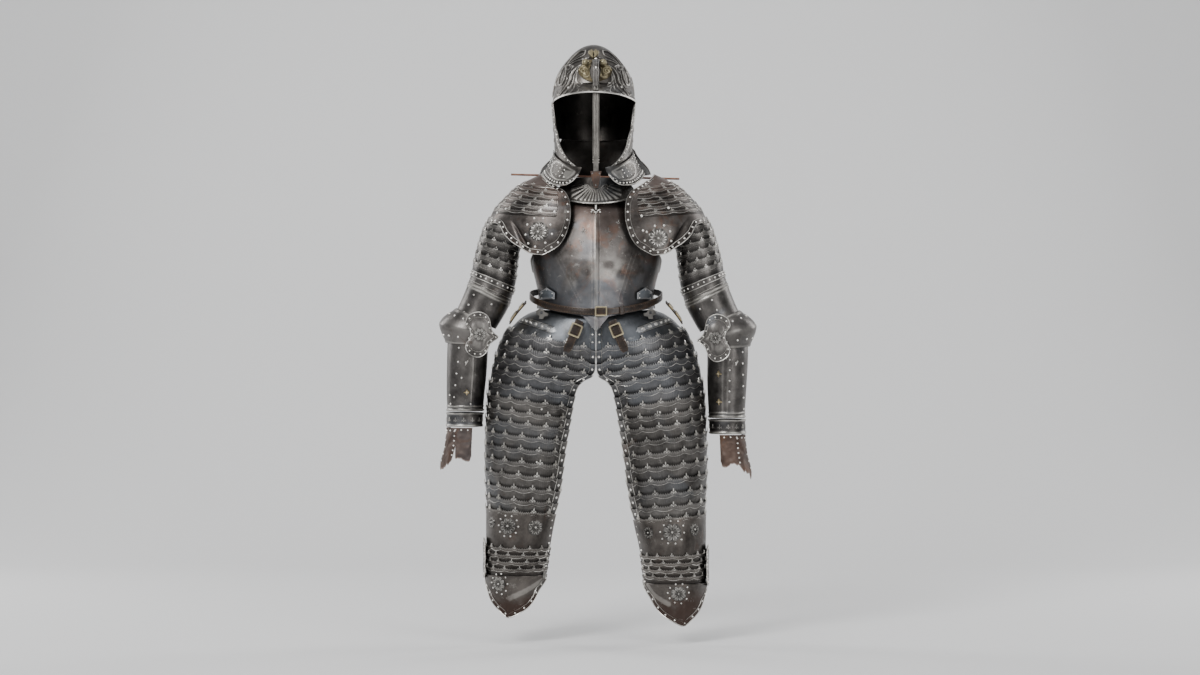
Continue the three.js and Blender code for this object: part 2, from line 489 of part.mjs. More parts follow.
function legPoint(z, t, side, off = 0) {
  const s = legRows(z);
  const inner = s.inner + legInner(side) * smooth((-z - 440) / 60);
  const a0 = Math.asin(Math.min(0.97, (inner - s.x) / s.w));
  const a = lerp(a0, -deg(THIGH_BACK - 20 * smooth((z + 420) / 90)), t);
  return ring({ x: s.x, z: s.z, w: s.w, f: s.f, b: s.f * 0.9, tilt: -s.slope }, a, off);
}
const LEG_COLUMNS = 10;
function legWall(rows, side) {            // rows: [ring height, how far it stands off]
  const make = offs => rows.map(([z, off]) => Array.from({ length: LEG_COLUMNS }, (_, j) => legPlace(legPoint(z, j / (LEG_COLUMNS - 1), side, offs ? off : 0), side)));
  return wall(make(true), WALL, { base: make(false), inside: legPlace(V(-150, 20, (rows[0][0] + rows[rows.length - 1][0]) / 2), side) });
}
function lameRows(from, to, count, first = LAP) {
  const rows = [];
  for (let i = 0; i < count; i++) {
    const z0 = lerp(from, to, i / count), z1 = lerp(from, to, (i + 1) / count);
    rows.push(i ? [z0 - 2.5, LAP] : [z0 + LAP_UP, first]);
    rows.push([z1, 0]);
  }
  return rows;
}
const pitch = (THIGH_END - THIGH_TOP) / LAMES_PER_THIGH;
for (const side of [RIGHT, LEFT]) {
  const n = sideName(side);
  add(`hip_plate_${n}`, legWall([[-334, 0], [-344, 0], [-360, 0], [-380, 0], [-395, 0], [THIGH_TOP, 0]], side), 'bluish');
  add(`thigh_lames_upper_${n}`, legWall(lameRows(THIGH_TOP, THIGH_TOP + 5 * pitch, 5, LAP + 1.2), side), 'steel');
  add(`thigh_lames_middle_${n}`, legWall(lameRows(THIGH_TOP + 5 * pitch, THIGH_TOP + 10 * pitch, 5, LAP + 0.6), side), 'steel');
  add(`thigh_lames_lower_${n}`, legWall(lameRows(THIGH_TOP + 10 * pitch, THIGH_END, 4), side), 'steel');
  add(`knee_plate_${n}`, legWall([[THIGH_END + LAP_UP, LAP], [-830, 2], [-850, 2], [-870, 1], [KNEE_END, 0]], side), 'steel');
  add(`knee_lames_${n}`, legWall(lameRows(KNEE_END, KNEE_LAMES_END, 3), side), 'steel');

  // pointed lower plate of the knee
  const tip = table(['t', 'end'], [[0, -964], [0.1, -984], [0.16, -1006], [0.24, -1026], [0.33, -1040], [0.444, -1052], [0.57, -1034], [0.67, -1012], [0.73, -992], [0.86, -970], [1, -964]]);
  const poleyn = (off) => grid(6, LEG_COLUMNS, (i, j) => {
    const t = j / (LEG_COLUMNS - 1);
    const z = lerp(KNEE_LAMES_END + LAP_UP, tip(t).end, i / 5);
    return legPlace(legPoint(z, t, side, off ? LAP + 1.5 * Math.sin(Math.PI * i / 5) : 0), side);
  });
  add(`poleyn_${n}`, wall(poleyn(true), WALL, { base: poleyn(false), inside: legPlace(V(-180, 20, -1000), side) }), 'steel');

  // side wing of the knee
  const fan = new THREE.Shape();
  fan.moveTo(-46, -868);
  fan.quadraticCurveTo(-60, -880, -54, -898);
  fan.quadraticCurveTo(-66, -914, -54, -932);
  fan.quadraticCurveTo(-58, -950, -40, -958);
  fan.quadraticCurveTo(4, -966, 30, -948);
  fan.quadraticCurveTo(46, -914, 30, -880);
  fan.quadraticCurveTo(0, -862, -46, -868);
  const fanFlat = new THREE.ExtrudeGeometry(fan, { depth: WALL, bevelEnabled: false, curveSegments: 3 });
  add(`poleyn_wing_${n}`, moved(fanFlat, p => legPlace(V(-268.5 - p.z + 3 * (p.x / 50) ** 2, p.x, p.y), side)), 'steel');
}

// ---- what lies on the hip plates: straps, their buckles, turning hooks
const hipSurface = (x, z) => {           // height of the hip plate's face over a spot (right side)
  let zc = z;
  for (let i = 0; i < 6; i++) { const s = legRows(zc); zc = z + (x - s.x) * s.slope; }
  const s = legRows(Math.min(-334, zc));
  return -s.f * Math.sqrt(Math.max(0.05, 1 - ((x - s.x) / s.w) ** 2));
};
const strapPath = table(['t', 'x', 'z', 'off'], [[0, -38, -347, 9], [0.3, -46, -366, 9], [0.6, -56, -390, 9], [1, -70, -421, 9]]);
for (const side of [RIGHT, LEFT]) {
  const n = sideName(side), HALF = 9.5;
  const along = t => { const s = strapPath(t), e = strapPath(Math.min(1, t + 0.05)), b = strapPath(Math.max(0, t - 0.05)); return { ...s, dir: new THREE.Vector2(e.x - b.x, e.z - b.z).normalize() }; };
  add(`hip_strap_${n}`, wall(grid(7, 3, (i, j) => {
    const s = along(i / 6), k = (j - 1) * HALF * (i === 6 ? 0.75 : 1);
    const x = s.x - s.dir.y * k, z = s.z + s.dir.x * k;
    return mirror(V(x, hipSurface(Math.min(-6, s.x), s.z) - s.off, z), side);
  }), LEATHER, { inside: V(0, 0, -380) }), 'leather');
  const c = along(0.36), turn = Math.atan2(c.dir.x, -c.dir.y);
  add(`hip_buckle_${n}`, moved(frameShape(28, 31, 3, 3.4).rotateY(turn), p => mirror(V(p.x + c.x, p.y + hipSurface(c.x, c.z) - c.off - 2.4, p.z + c.z), side)), 'brass');

  // turning hook: ring with a beak
  const hook = new THREE.Shape([[-14, 8], [-6, 13], [3, 11], [6, 4], [15, 1], [13, -5], [5, -6], [2, -12], [-8, -11], [-7, -4], [-14, -1]].map(p => new THREE.Vector2(...p)));
  hook.holes.push(new THREE.Path([[-5, 6], [1, 6], [1, 0], [-5, 0]].reverse().map(p => new THREE.Vector2(...p))));
  const hookFlat = new THREE.ExtrudeGeometry(hook, { depth: 3.4, bevelEnabled: false }).rotateX(Math.PI / 2);
  add(`turning_hook_${n}`, moved(hookFlat, p => {
    return mirror(V(-127 + p.x, -106 + p.y - 0.6 * p.x, -332 + p.z), side);   // hangs just under the belt
  }), 'bright');

  // short strap at the hip's side
  add(`side_strap_${n}`, wall(grid(6, 3, (i, j) => {
    const t = i / 5;
    return mirror(V(lerp(-168, -207, t) - 2 * Math.sin(Math.PI * t), -46 + (j - 1) * 9 + 6 * t, lerp(-302, -352, t) + (j - 1) * 3), side);
  }), LEATHER, { inside: V(0, -30, -340) }), 'leather');
}

group.position.y = -ROD_Y;       // puts the origin on the rod
export default group;
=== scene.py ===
import json
import math
import bpy
import numpy as np
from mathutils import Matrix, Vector

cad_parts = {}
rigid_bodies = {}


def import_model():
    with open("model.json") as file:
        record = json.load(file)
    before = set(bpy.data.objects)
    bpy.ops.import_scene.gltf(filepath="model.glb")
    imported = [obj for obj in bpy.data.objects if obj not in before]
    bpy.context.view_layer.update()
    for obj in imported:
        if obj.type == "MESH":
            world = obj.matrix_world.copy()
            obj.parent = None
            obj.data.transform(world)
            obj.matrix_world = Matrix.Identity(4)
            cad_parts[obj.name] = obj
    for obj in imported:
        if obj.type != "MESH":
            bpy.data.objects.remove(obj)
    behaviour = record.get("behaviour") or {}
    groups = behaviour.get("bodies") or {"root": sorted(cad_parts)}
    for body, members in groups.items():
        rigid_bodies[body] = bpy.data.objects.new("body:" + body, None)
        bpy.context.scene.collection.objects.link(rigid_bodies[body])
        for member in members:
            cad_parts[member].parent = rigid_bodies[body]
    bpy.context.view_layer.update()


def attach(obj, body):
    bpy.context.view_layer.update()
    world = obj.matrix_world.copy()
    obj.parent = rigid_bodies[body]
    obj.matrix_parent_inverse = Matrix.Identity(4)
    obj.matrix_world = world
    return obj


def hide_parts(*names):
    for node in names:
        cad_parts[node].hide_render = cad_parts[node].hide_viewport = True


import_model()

ROD_Y = 30.0           # the tables below put the body's middle plane at y = 0; the frame's origin is on the rod
BODY = "armour"

# ------------------------------------------------------------------ tables, mm
def table(names, rows):
    rows = sorted(rows, key=lambda r: r[0])
    A = np.array(rows, float)
    k = A[:, 0]
    slopes = np.zeros_like(A)
    sec = (A[1:] - A[:-1]) / (k[1:] - k[:-1])[:, None]
    for i in range(len(k)):
        if i == 0:
            slopes[i] = sec[0]
        elif i == len(k) - 1:
            slopes[i] = sec[-1]
        else:
            a, b = sec[i - 1], sec[i]
            with np.errstate(divide="ignore", invalid="ignore"):
                h = np.where(a * b > 0, 2 * a * b / np.where(a + b == 0, 1, a + b), 0)
            slopes[i] = h

    def at(x):
        x = np.asarray(x, float)
        i = np.clip(np.searchsorted(k, x, side="right") - 1, 0, len(k) - 2)
        h = k[i + 1] - k[i]
        t = np.clip((x - k[i]) / h, 0, 1)
        out = {names[0]: x}
        for c, n in enumerate(names[1:], 1):
            p, q = A[i, c], A[i + 1, c]
            m0, m1 = slopes[i, c] * h, slopes[i + 1, c] * h
            out[n] = (2 * t**3 - 3 * t**2 + 1) * p + (t**3 - 2 * t**2 + t) * m0 + (-2 * t**3 + 3 * t**2) * q + (t**3 - t**2) * m1
        return out
    return at


def vec(x, y, z):
    x, y, z = np.broadcast_arrays(np.asarray(x, float), np.asarray(y, float), np.asarray(z, float))
    return np.stack([x, y, z], -1)


def smooth(t):
    t = np.clip(t, 0, 1)
    return t * t * (3 - 2 * t)


def lerp(a, b, t):
    return a + (b - a) * t


def unit(v):
    return v / np.maximum(np.linalg.norm(v, axis=-1, keepdims=True), 1e-9)


def ring(a, x=0.0, y=0.0, z=0.0, w=1.0, f=1.0, b=None, tilt=0.0, off=0.0):
    b = f if b is None else b
    c = np.cos(a)
    u = (w + off) * np.sin(a)
    return vec(x + u, y - (np.where(c > 0, f, b) + off) * c, z + u * tilt)


rad = np.radians


# ------------------------------------------------------------------ noise, the same every run
def hash01(i, j, seed):
    h = (i.astype(np.int64) * 374761393 + j.astype(np.int64) * 668265263 + seed * 1442695041) & 0x7FFFFFFF
    h = ((h ^ (h >> 13)) * 1274126177) & 0x7FFFFFFF
    return ((h ^ (h >> 16)) & 0xFFFF) / 65535.0


def noise2(x, y, seed=1):
    x = np.asarray(x, float); y = np.asarray(y, float)
    x, y = np.broadcast_arrays(x, y)
    i, j = np.floor(x), np.floor(y)
    fx, fy = smooth(x - i), smooth(y - j)
    i = i.astype(np.int64); j = j.astype(np.int64)
    return lerp(lerp(hash01(i, j, seed), hash01(i + 1, j, seed), fx), lerp(hash01(i, j + 1, seed), hash01(i + 1, j + 1, seed), fx), fy) * 2 - 1


# ------------------------------------------------------------------ surfaces and meshes
class Surf:
    """f(u, v) gives points, mm; the normal faces away from `inside`."""
    def __init__(self, f, inside, e=0.002, vr=(0.1, 0.9)):
        self.f, self.inside, self.e = f, np.asarray(inside, float), e
        self.sign = 1.0
        u, v = np.meshgrid(np.linspace(0.1, 0.9, 7), np.linspace(vr[0], vr[1], 7))
        P, N = self.frame(u, v)
        self.sign = 1.0 if np.sum(N * (P - self.inside)) > 0 else -1.0

    def frame(self, u, v):
        e = self.e
        P = self.f(u, v)
        du = self.f(np.asarray(u) + e, v) - self.f(np.asarray(u) - e, v)
        dv = self.f(u, np.asarray(v) + e) - self.f(u, np.asarray(v) - e)
        return P, unit(np.cross(du, dv)) * self.sign

    def at(self, u, v, off=0.0):
        P, N = self.frame(u, v)
        return P + N * np.asarray(off, float)[..., None]


    def inset(self, path, d, toward):
        """a path on the surface moved d mm towards the (u, v) point `toward`"""
        p = np.asarray(path, float)
        e = self.e
        P, N = self.frame(p[:, 0], p[:, 1])
        T = unit(np.gradient(P, axis=0))
        side = unit(np.cross(N, T))
        Ju = (self.f(p[:, 0] + e, p[:, 1]) - self.f(p[:, 0] - e, p[:, 1])) / (2 * e)
        Jv = (self.f(p[:, 0], p[:, 1] + e) - self.f(p[:, 0], p[:, 1] - e)) / (2 * e)
        a, b, c = (Ju * Ju).sum(-1), (Ju * Jv).sum(-1), (Jv * Jv).sum(-1)
        r1, r2 = (Ju * side).sum(-1), (Jv * side).sum(-1)
        det = np.maximum(a * c - b * b, 1e-9)
        du, dv = (c * r1 - b * r2) / det, (a * r2 - b * r1) / det
        mid = self.f(np.array([toward[0]]), np.array([toward[1]]))
        s = 1.0 if ((mid - P) * side).sum() > 0 else -1.0
        return p + np.stack([du, dv], -1) * (d * s)


class Acc:
    def __init__(self):
        self.v, self.f, self.w, self.n = [], [], [], 0

    def add(self, verts, faces, wear=0.0):
        verts = np.asarray(verts, float).reshape(-1, 3)
        self.v.append(verts)
        self.w.append(np.broadcast_to(np.asarray(wear, float).reshape(-1), (len(verts),)) if np.ndim(wear) else np.full(len(verts), float(wear)))
        self.f.append((np.asarray(faces, np.int64) + self.n))
        self.n += len(verts)

    def count(self):
        return sum(len(f) * (f.shape[1] - 2) for f in self.f)


OBJECTS = {}


def emit(acc, name, mat, replaces=(), body=BODY, smooth_angle=40, slots=None):
    verts = np.concatenate(acc.v) / 1000.0
    verts[:, 1] -= ROD_Y / 1000.0
    me = bpy.data.meshes.new(name)
    nv = len(verts)
    me.vertices.add(nv)
    me.vertices.foreach_set("co", verts.reshape(-1))
    loops = np.concatenate([f.reshape(-1) for f in acc.f])
    sizes = np.concatenate([np.full(len(f), f.shape[1]) for f in acc.f])
    starts = np.concatenate([[0], np.cumsum(sizes)[:-1]])
    me.loops.add(len(loops))
    me.loops.foreach_set("vertex_index", loops.astype(np.int32))
    me.polygons.add(len(sizes))
    me.polygons.foreach_set("loop_start", starts.astype(np.int32))
    me.polygons.foreach_set("loop_total", sizes.astype(np.int32))
    me.update(calc_edges=True)
    me.validate()
    # per-point attribute: real wear together with painted light and shade
    at = me.attributes.new("wear", "FLOAT", "POINT")
    w = np.concatenate(acc.w)
    if len(me.vertices) == len(w):
        at.data.foreach_set("value", w.astype(np.float32))
    me.polygons.foreach_set("use_smooth", np.ones(len(me.polygons), bool))
    ob = bpy.data.objects.new(name, me)
    bpy.context.scene.collection.objects.link(ob)
    ob.data.materials.append(mat)
    me.set_sharp_from_angle(angle=math.radians(smooth_angle))
    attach(ob, body)
    if replaces:
        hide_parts(*replaces)
    OBJECTS[name] = ob
    return ob


def quad_grid(R, C, closed):
    i = np.arange(R - 1)[:, None]
    j = np.arange(C if closed else C - 1)[None, :]
    k = (j + 1) % C
    return np.stack([np.broadcast_to(i * C + j, (R - 1, j.size)), np.broadcast_to(i * C + k, (R - 1, j.size)),
                     np.broadcast_to((i + 1) * C + k, (R - 1, j.size)), np.broadcast_to((i + 1) * C + j, (R - 1, j.size))], -1).reshape(-1, 4)


def orient(verts, faces):
    """faces of a closed mesh, turned to face out"""
    v = verts[faces]
    vol = 0.0
    for k in range(1, faces.shape[1] - 1):
        vol += np.einsum("ij,ij->", v[:, 0], np.cross(v[:, k], v[:, k + 1]))
    return faces if vol > 0 else faces[:, ::-1]


def wall(acc, O, I, wear=0.0, closed=False, every=1):
    """closed wall between an outer and an inner grid of points (rows, columns, 3); the inner face keeps each every-th row"""
    R, C = O.shape[:2]
    q = quad_grid(R, C, closed)
    n = R * C
    ri = np.unique(np.concatenate([np.arange(0, R - 1, max(1, every)), [R - 1]]))
    qi = quad_grid(len(ri), C, closed)[:, ::-1] + n
    quads, tris = [q, qi], []
    j = np.arange(C)
    a = j if closed else j[:-1]
    b = np.roll(j, -1) if closed else j[1:]
    quads.append(np.stack([b, a, a + n, b + n], -1))
    lo, li = (R - 1) * C, n + (len(ri) - 1) * C
    quads.append(np.stack([lo + a, lo + b, li + b, li + a], -1))
    if not closed:
        for col, right in ((0, False), (C - 1, True)):
            for k in range(len(ri) - 1):
                ia, ib = n + k * C + col, n + (k + 1) * C + col
                for i in range(ri[k], ri[k + 1]):
                    o0, o1 = i * C + col, (i + 1) * C + col
                    tris.append((o1, o0, ia) if right else (o0, o1, ia))
                ob = ri[k + 1] * C + col
                tris.append((ib, ob, ia) if right else (ob, ib, ia))
    F = np.concatenate(quads)
    T = np.array(tris, np.int64).reshape(-1, 3)
    V = np.concatenate([O.reshape(-1, 3), I[ri].reshape(-1, 3)])
    w = np.broadcast_to(np.asarray(wear, float), (R, C)).reshape(-1) if np.ndim(wear) else np.full(n, float(wear))
    v = V[F]
    vol = sum(np.einsum("ij,ij->", v[:, 0], np.cross(v[:, k], v[:, k + 1])) for k in (1, 2))
    if len(T):
        v = V[T]
        vol += np.einsum("ij,ij->", v[:, 0], np.cross(v[:, 1], v[:, 2]))
    if vol < 0:
        F, T = F[:, ::-1], T[:, ::-1]
    # the inner face gets -1: painted dark as shade
    acc.add(V, F, np.concatenate([w, np.full(len(ri) * C, -1.0)]))
    if len(T):
        acc.f.append(T + acc.n - len(V))


def fewer(a, k):
    a = np.asarray(a, float)
    m = max(4, int(round(len(a) * k)))
    return a if m >= len(a) else np.interp(np.linspace(0, len(a) - 1, m), np.arange(len(a)), a)


def edge_wear(R, C, us, top=True, bottom=True, ends=True, reach=2):
    w = np.zeros((R, C))
    if top: w[0] = 1
    if bottom: w[-1] = np.maximum(w[-1], 0.8)
    if ends: w[:, 0] = w[:, -1] = 0.8
    return w


def plate(acc, surf, us, vs, off=0.0, thick=1.6, disp=None, vmap=None, umap=None, wear=None, closed=False, fine=0.68):
    """A wall on a surface: columns us, rows vs; vmap(u, v) bends the rows, disp(u, v, P) lifts the outer face."""
    us, vs = fewer(us, fine), fewer(vs, fine)
    U, Vv = np.meshgrid(us, vs)
    uu = umap(U, Vv) if umap else U
    vv = vmap(U, Vv) if vmap else Vv
    P, N = surf.frame(uu, vv)
    o = np.broadcast_to(np.asarray(off, float), U.shape).copy()
    d = disp(uu, vv, P) if disp is not None else 0.0
    O = P + N * (o + d)[..., None]
    deep = bool(np.min(d) < -0.8)                      # deep hollows keep the full inner face
    I = P + N * (o - thick + (0.6 * d if deep else np.minimum(d, 0)))[..., None]
    w = wear if wear is not None else edge_wear(U.shape[0], U.shape[1], us, ends=not closed)
    if callable(w):
        w = w(uu, vv, P)
    wall(acc, O, I, w, closed, 1 if deep else 6)
    return P, N


def tangent(P):
    t = np.gradient(P, axis=0)
    return unit(t)


def strip(acc, P, N, width, height, closed=False, wear=1.0, sink=0.5, profile="round"):
    """a closed half-round bead along points P on a face with normals N"""
    P = np.asarray(P, float); N = unit(np.asarray(N, float))
    if closed:
        T = unit(np.roll(P, -1, 0) - np.roll(P, 1, 0))
    else:
        T = tangent(P)
    S = unit(np.cross(T, N))
    h = width / 2
    if profile == "round":
        sec = [(-h, -sink), (-h * 0.8, height * 0.55), (0, height), (h * 0.8, height * 0.55), (h, -sink)]
    else:
        sec = [(-h, -sink), (-h, height), (h, height), (h, -sink)]
    m = len(sec)
    hh = np.broadcast_to(np.asarray(height, float), (len(P),)) if np.ndim(height) else None
    G = np.stack([P + S * a + N * b for a, b in sec], 1)
    n = len(P)
    i = np.arange(n if closed else n - 1)[:, None]; k = np.arange(m)[None, :]
    i2 = (i + 1) % n; k2 = (k + 1) % m
    F = np.stack([np.broadcast_to(i * m + k, (i.size, m)), np.broadcast_to(i * m + k2, (i.size, m)), np.broadcast_to(i2 * m + k2, (i.size, m)), np.broadcast_to(i2 * m + k, (i.size, m))], -1).reshape(-1, 4)
    V = G.reshape(-1, 3)
    acc_faces = [F]
    if not closed:
        for base, rev in ((0, False), ((n - 1) * m, True)):
            c = [base + x for x in range(m)]
            tri = np.array([[c[0], c[x], c[x + 1]] for x in range(1, m - 1)])
            acc_faces.append(np.concatenate([tri, tri[:, -1:]], 1)[:, :4] if False else tri if not rev else tri[:, ::-1])
    # signed volume of the tube part decides the way round
    v = V[F]
    vol = sum(np.einsum("ij,ij->", v[:, 0], np.cross(v[:, a], v[:, a + 1])) for a in (1, 2))
    W = np.full(len(V), float(wear))
    if vol < 0:
        F = F[:, ::-1]
    acc.add(V, F, W)
    base = acc.n - len(V)
    if not closed:
        for t in acc_faces[1:]:
            if vol >= 0:
                t = t[:, ::-1]
            acc.f.append(t + base)


def dome(acc, P, N, r, h=None, seg=8, rings=3, wear=1.0, sink=0.6):
    """rivet heads at many points at once"""
    P = np.asarray(P, float).reshape(-1, 3); N = unit(np.asarray(N, float).reshape(-1, 3))
    if len(P) == 0:
        return
    r = np.broadcast_to(np.asarray(r, float), (len(P),))
    h = r * 0.75 if h is None else np.broadcast_to(np.asarray(h, float), (len(P),))
    ref = np.where(np.abs(N[:, 2:3]) < 0.8, [[0, 0, 1.0]], [[1.0, 0, 0]])
    A = unit(np.cross(N, ref)); B = np.cross(N, A)
    ang = np.arange(seg) * 2 * np.pi / seg
    ringsP = []
    for k in range(rings):
        e = k / rings * np.pi / 2
        rr = r * np.cos(e); hh = h * np.sin(e) if k else -sink * np.ones(len(P))
        ringsP.append(P[:, None] + (A[:, None] * np.cos(ang)[None, :, None] + B[:, None] * np.sin(ang)[None, :, None]) * rr[:, None, None] + N[:, None] * hh[:, None, None])
    V = np.concatenate(ringsP + [(P + N * h[:, None])[:, None], (P - N * sink)[:, None]], 1)     # per dome: rings*seg + 2
    m = rings * seg + 2
    F = []
    for k in range(rings - 1):
        for j in range(seg):
            j2 = (j + 1) % seg
            F.append([k * seg + j, k * seg + j2, (k + 1) * seg + j2, (k + 1) * seg + j])
    T = []
    k = rings - 1
    for j in range(seg):
        j2 = (j + 1) % seg
        T.append([k * seg + j, k * seg + j2, m - 2])
        T.append([j2, j, m - 1])
    base = (np.arange(len(P)) * m)[:, None, None]
    F = (np.array(F)[None] + base).reshape(-1, 4); T = (np.array(T)[None] + base).reshape(-1, 3)
    V = V.reshape(-1, 3)
    v = V[T[:1]][0]
    # A, B, N is right-handed or not: test one face
    fn = np.cross(V[F[0][1]] - V[F[0][0]], V[F[0][2]] - V[F[0][0]])
    mid = V[F[0]].mean(0) - P[0]
    if np.dot(fn, mid) < 0:
        F = F[:, ::-1]; T = T[:, ::-1]
    acc.add(V, F, wear)
    acc.f.append(T + acc.n - len(V))


def blob(acc, P, N, A, outline, h=1.2, wear=1.0, sink=0.6):
    """small raised shapes: outline (k, 2) in the face at each point, A is the outline's second axis direction"""
    P = np.asarray(P, float).reshape(-1, 3); N = unit(np.asarray(N, float).reshape(-1, 3)); A = np.asarray(A, float).reshape(-1, 3)
    A = unit(A - N * np.sum(A * N, -1, keepdims=True))
    S = np.cross(A, N)
    o = np.asarray(outline, float); c = o.mean(0); k = len(o)
    inner = c + (o - c) * 0.72
    low = P[:, None] + S[:, None] * o[None, :, :1] + A[:, None] * o[None, :, 1:] - N[:, None] * sink
    top = P[:, None] + S[:, None] * inner[None, :, :1] + A[:, None] * inner[None, :, 1:] + N[:, None] * h
    cb = P + S * c[0] + A * c[1] - N * sink
    ct = P + S * c[0] + A * c[1] + N * h * 1.1
    V = np.concatenate([low, top, ct[:, None], cb[:, None]], 1)
    m = 2 * k + 2
    F, T = [], []
    for j in range(k):
        j2 = (j + 1) % k
        F.append([j, j2, k + j2, k + j])
        T.append([k + j, k + j2, m - 2]); T.append([j2, j, m - 1])
    base = (np.arange(len(P)) * m)[:, None, None]
    F = (np.array(F)[None] + base).reshape(-1, 4); T = (np.array(T)[None] + base).reshape(-1, 3)
    V = V.reshape(-1, 3)
    fn = np.cross(V[T[0][1]] - V[T[0][0]], V[T[0][2]] - V[T[0][0]])
    if np.dot(fn, N[0]) < 0:
        F = F[:, ::-1]; T = T[:, ::-1]
    acc.add(V, F, wear)
    acc.f.append(T + acc.n - len(V))


# petals for fleurs-de-lis and leaves, unit size: x across, y along
def lens(w, l, x0=0.0, y0=0.0, turn=0.0, n=8, bend=0.0):
    t = np.linspace(0, 2 * np.pi, n, endpoint=False)
    x = np.sin(t) * w / 2 * (1 - 0.35 * np.cos(t))
    y = -np.cos(t) * l / 2 + l / 2
    x = x + bend * (y / l) ** 2 * l
    c, s = math.cos(turn), math.sin(turn)
    return np.stack([x0 + c * x + s * y, y0 - s * x + c * y], -1)


def fleur(acc, P, N, up, size, h=1.3, wear=1.0):
    """small fleur-de-lis: a tall petal, two that curl down, a bar and a foot, standing on its point P"""
    for o in (lens(0.27, 0.78, 0, 0.22, 0, n=5), lens(0.19, 0.46, 0.05, 0.2, 0.75, n=6, bend=0.35), lens(0.19, 0.46, -0.05, 0.2, -0.75, n=6, bend=-0.35),
              lens(0.2, 0.2, 0.31, 0.26, 2.4, n=5), lens(0.2, 0.2, -0.31, 0.26, -2.4, n=5),
              np.array([[-0.2, 0.12], [0.2, 0.12], [0.2, 0.24], [-0.2, 0.24]]), lens(0.16, 0.22, 0, -0.04, 0, n=5)):
        blob(acc, P, N, up, o * size, h, wear)


def petal_out(w, l, x0=0.0, y0=0.0, n=10):
    """broad at its outer end"""
    t = np.linspace(0, 1, n)
    half = w / 2 * np.sin(np.pi * np.minimum(1, 0.12 + 0.72 * t ** 1.25)) * (0.25 + 0.75 * t)
    half[-1] *= 0.55
    return np.concatenate([np.stack([x0 + half, y0 + l * t], -1), np.stack([x0 - half, y0 + l * t], -1)[::-1]])


def rosette(acc, studs, P, N, up, r, petals=8, ring_r=None, ring_n=10, stud_r=2.2, tone=0.15):
    """rosette of broad petals on a dark disc of painted shade, two bright lenses on each petal and a boss in the middle
    """
    P = np.asarray(P, float).reshape(3); N = unit(np.asarray(N, float).reshape(3)); up = np.asarray(up, float).reshape(3)
    up = unit(up - N * np.dot(up, N)); S = np.cross(up, N)
    ca = np.linspace(0, 2 * np.pi, 33)[:-1]
    # dark disc under the petals: painted shade that shows in the gaps between them
    blob(acc, P, N, up, np.stack([np.cos(ca), np.sin(ca)], -1) * r * 0.98, 0.35, -0.75)
    for k in range(petals):
        a = 2 * np.pi * (k + 0.5) / petals
        d = up * math.cos(a) + S * math.sin(a)
        blob(acc, P, N, d, petal_out(r * 0.66, r * 0.80, 0, r * 0.16), 1.7, tone + 0.15)
        for w in (-0.16, 0.16):
            blob(acc, P + N * 1.1, N, d, lens(r * 0.09, r * 0.42, w * r, r * 0.42, n=6), 0.7, 0.85)
    dome(acc, P, N, r * 0.15, r * 0.2, wear=1.0)


def add_studs(acc, surf, u, v, r=2.4, off=0.0, h=None, wear=1.0):
    P, N = surf.frame(np.asarray(u, float), np.asarray(v, float))
    dome(acc, P + N * off, N, r, h, wear=wear)


def project(P):
    """where a point is seen from the front, 7 m away, in the middle plane"""
    k = 7000.0 / (7000.0 + P[..., 1])
    return np.stack([9.6 + (P[..., 0] - 9.6) * k, -387.6 + (P[..., 2] + 387.6) * k], -1)


def locate(surf, X, Z, guess, reach=(0.06, 0.4)):
    uv = np.array(guess, float)
    h = np.array(reach) * 0.01
    for _ in range(40):
        f0 = project(surf.f(uv[0], uv[1]))
        J = np.stack([(project(surf.f(uv[0] + h[0], uv[1])) - f0) / h[0], (project(surf.f(uv[0], uv[1] + h[1])) - f0) / h[1]], -1)
        d = np.linalg.lstsq(J, np.array([X, Z]) - f0, rcond=None)[0]
        uv = uv + np.clip(d, -np.array(reach), np.array(reach))
        if np.abs(d / np.array(reach)).max() < 1e-3:
            break
    return uv


def trace(surf, pts, guess, reach=(0.06, 0.4), n=60):
    """a path on a surface through places given in the front view"""
    out = []
    for X, Z in uv_path(pts, max(n // 3, 12)):
        guess = locate(surf, X, Z, guess, reach)
        out.append(guess)
    out = np.array(out)
    t = np.linspace(0, len(out) - 1, n)
    return np.stack([np.interp(t, np.arange(len(out)), out[:, i]) for i in range(2)], -1)


def ring_of_studs(acc, surf, uv, r, count, stud, off=0.0, start=0.35, reach=(0.06, 0.4)):
    P, N = surf.frame(np.array([uv[0]]), np.array([uv[1]]))
    h = np.array(reach) * 0.01
    Ju = (surf.f(uv[0] + h[0], uv[1]) - surf.f(uv[0] - h[0], uv[1])) / (2 * h[0])
    Jv = (surf.f(uv[0], uv[1] + h[1]) - surf.f(uv[0], uv[1] - h[1])) / (2 * h[1])
    up = unit(np.array([0, 0, 1.0]) - N[0] * N[0][2]); side = np.cross(up, N[0])
    G = np.linalg.pinv(np.stack([Ju, Jv], 1))
    a = np.arange(count) * 2 * np.pi / count + start
    q = np.array([np.array(uv) + G @ ((up * math.cos(x) + side * math.sin(x)) * r) for x in a])
    add_studs(acc, surf, q[:, 0], q[:, 1], stud, off)
    return P[0] + N[0] * off, N[0]


def dist_to(P, Q):
    flat = P.reshape(-1, 3); D = np.full(len(flat), 1e9)
    for s in range(0, len(Q), 64):
        D = np.minimum(D, ((flat[:, None] - Q[None, s:s + 64]) ** 2).sum(-1).min(1))
    return np.sqrt(D).reshape(P.shape[:-1])


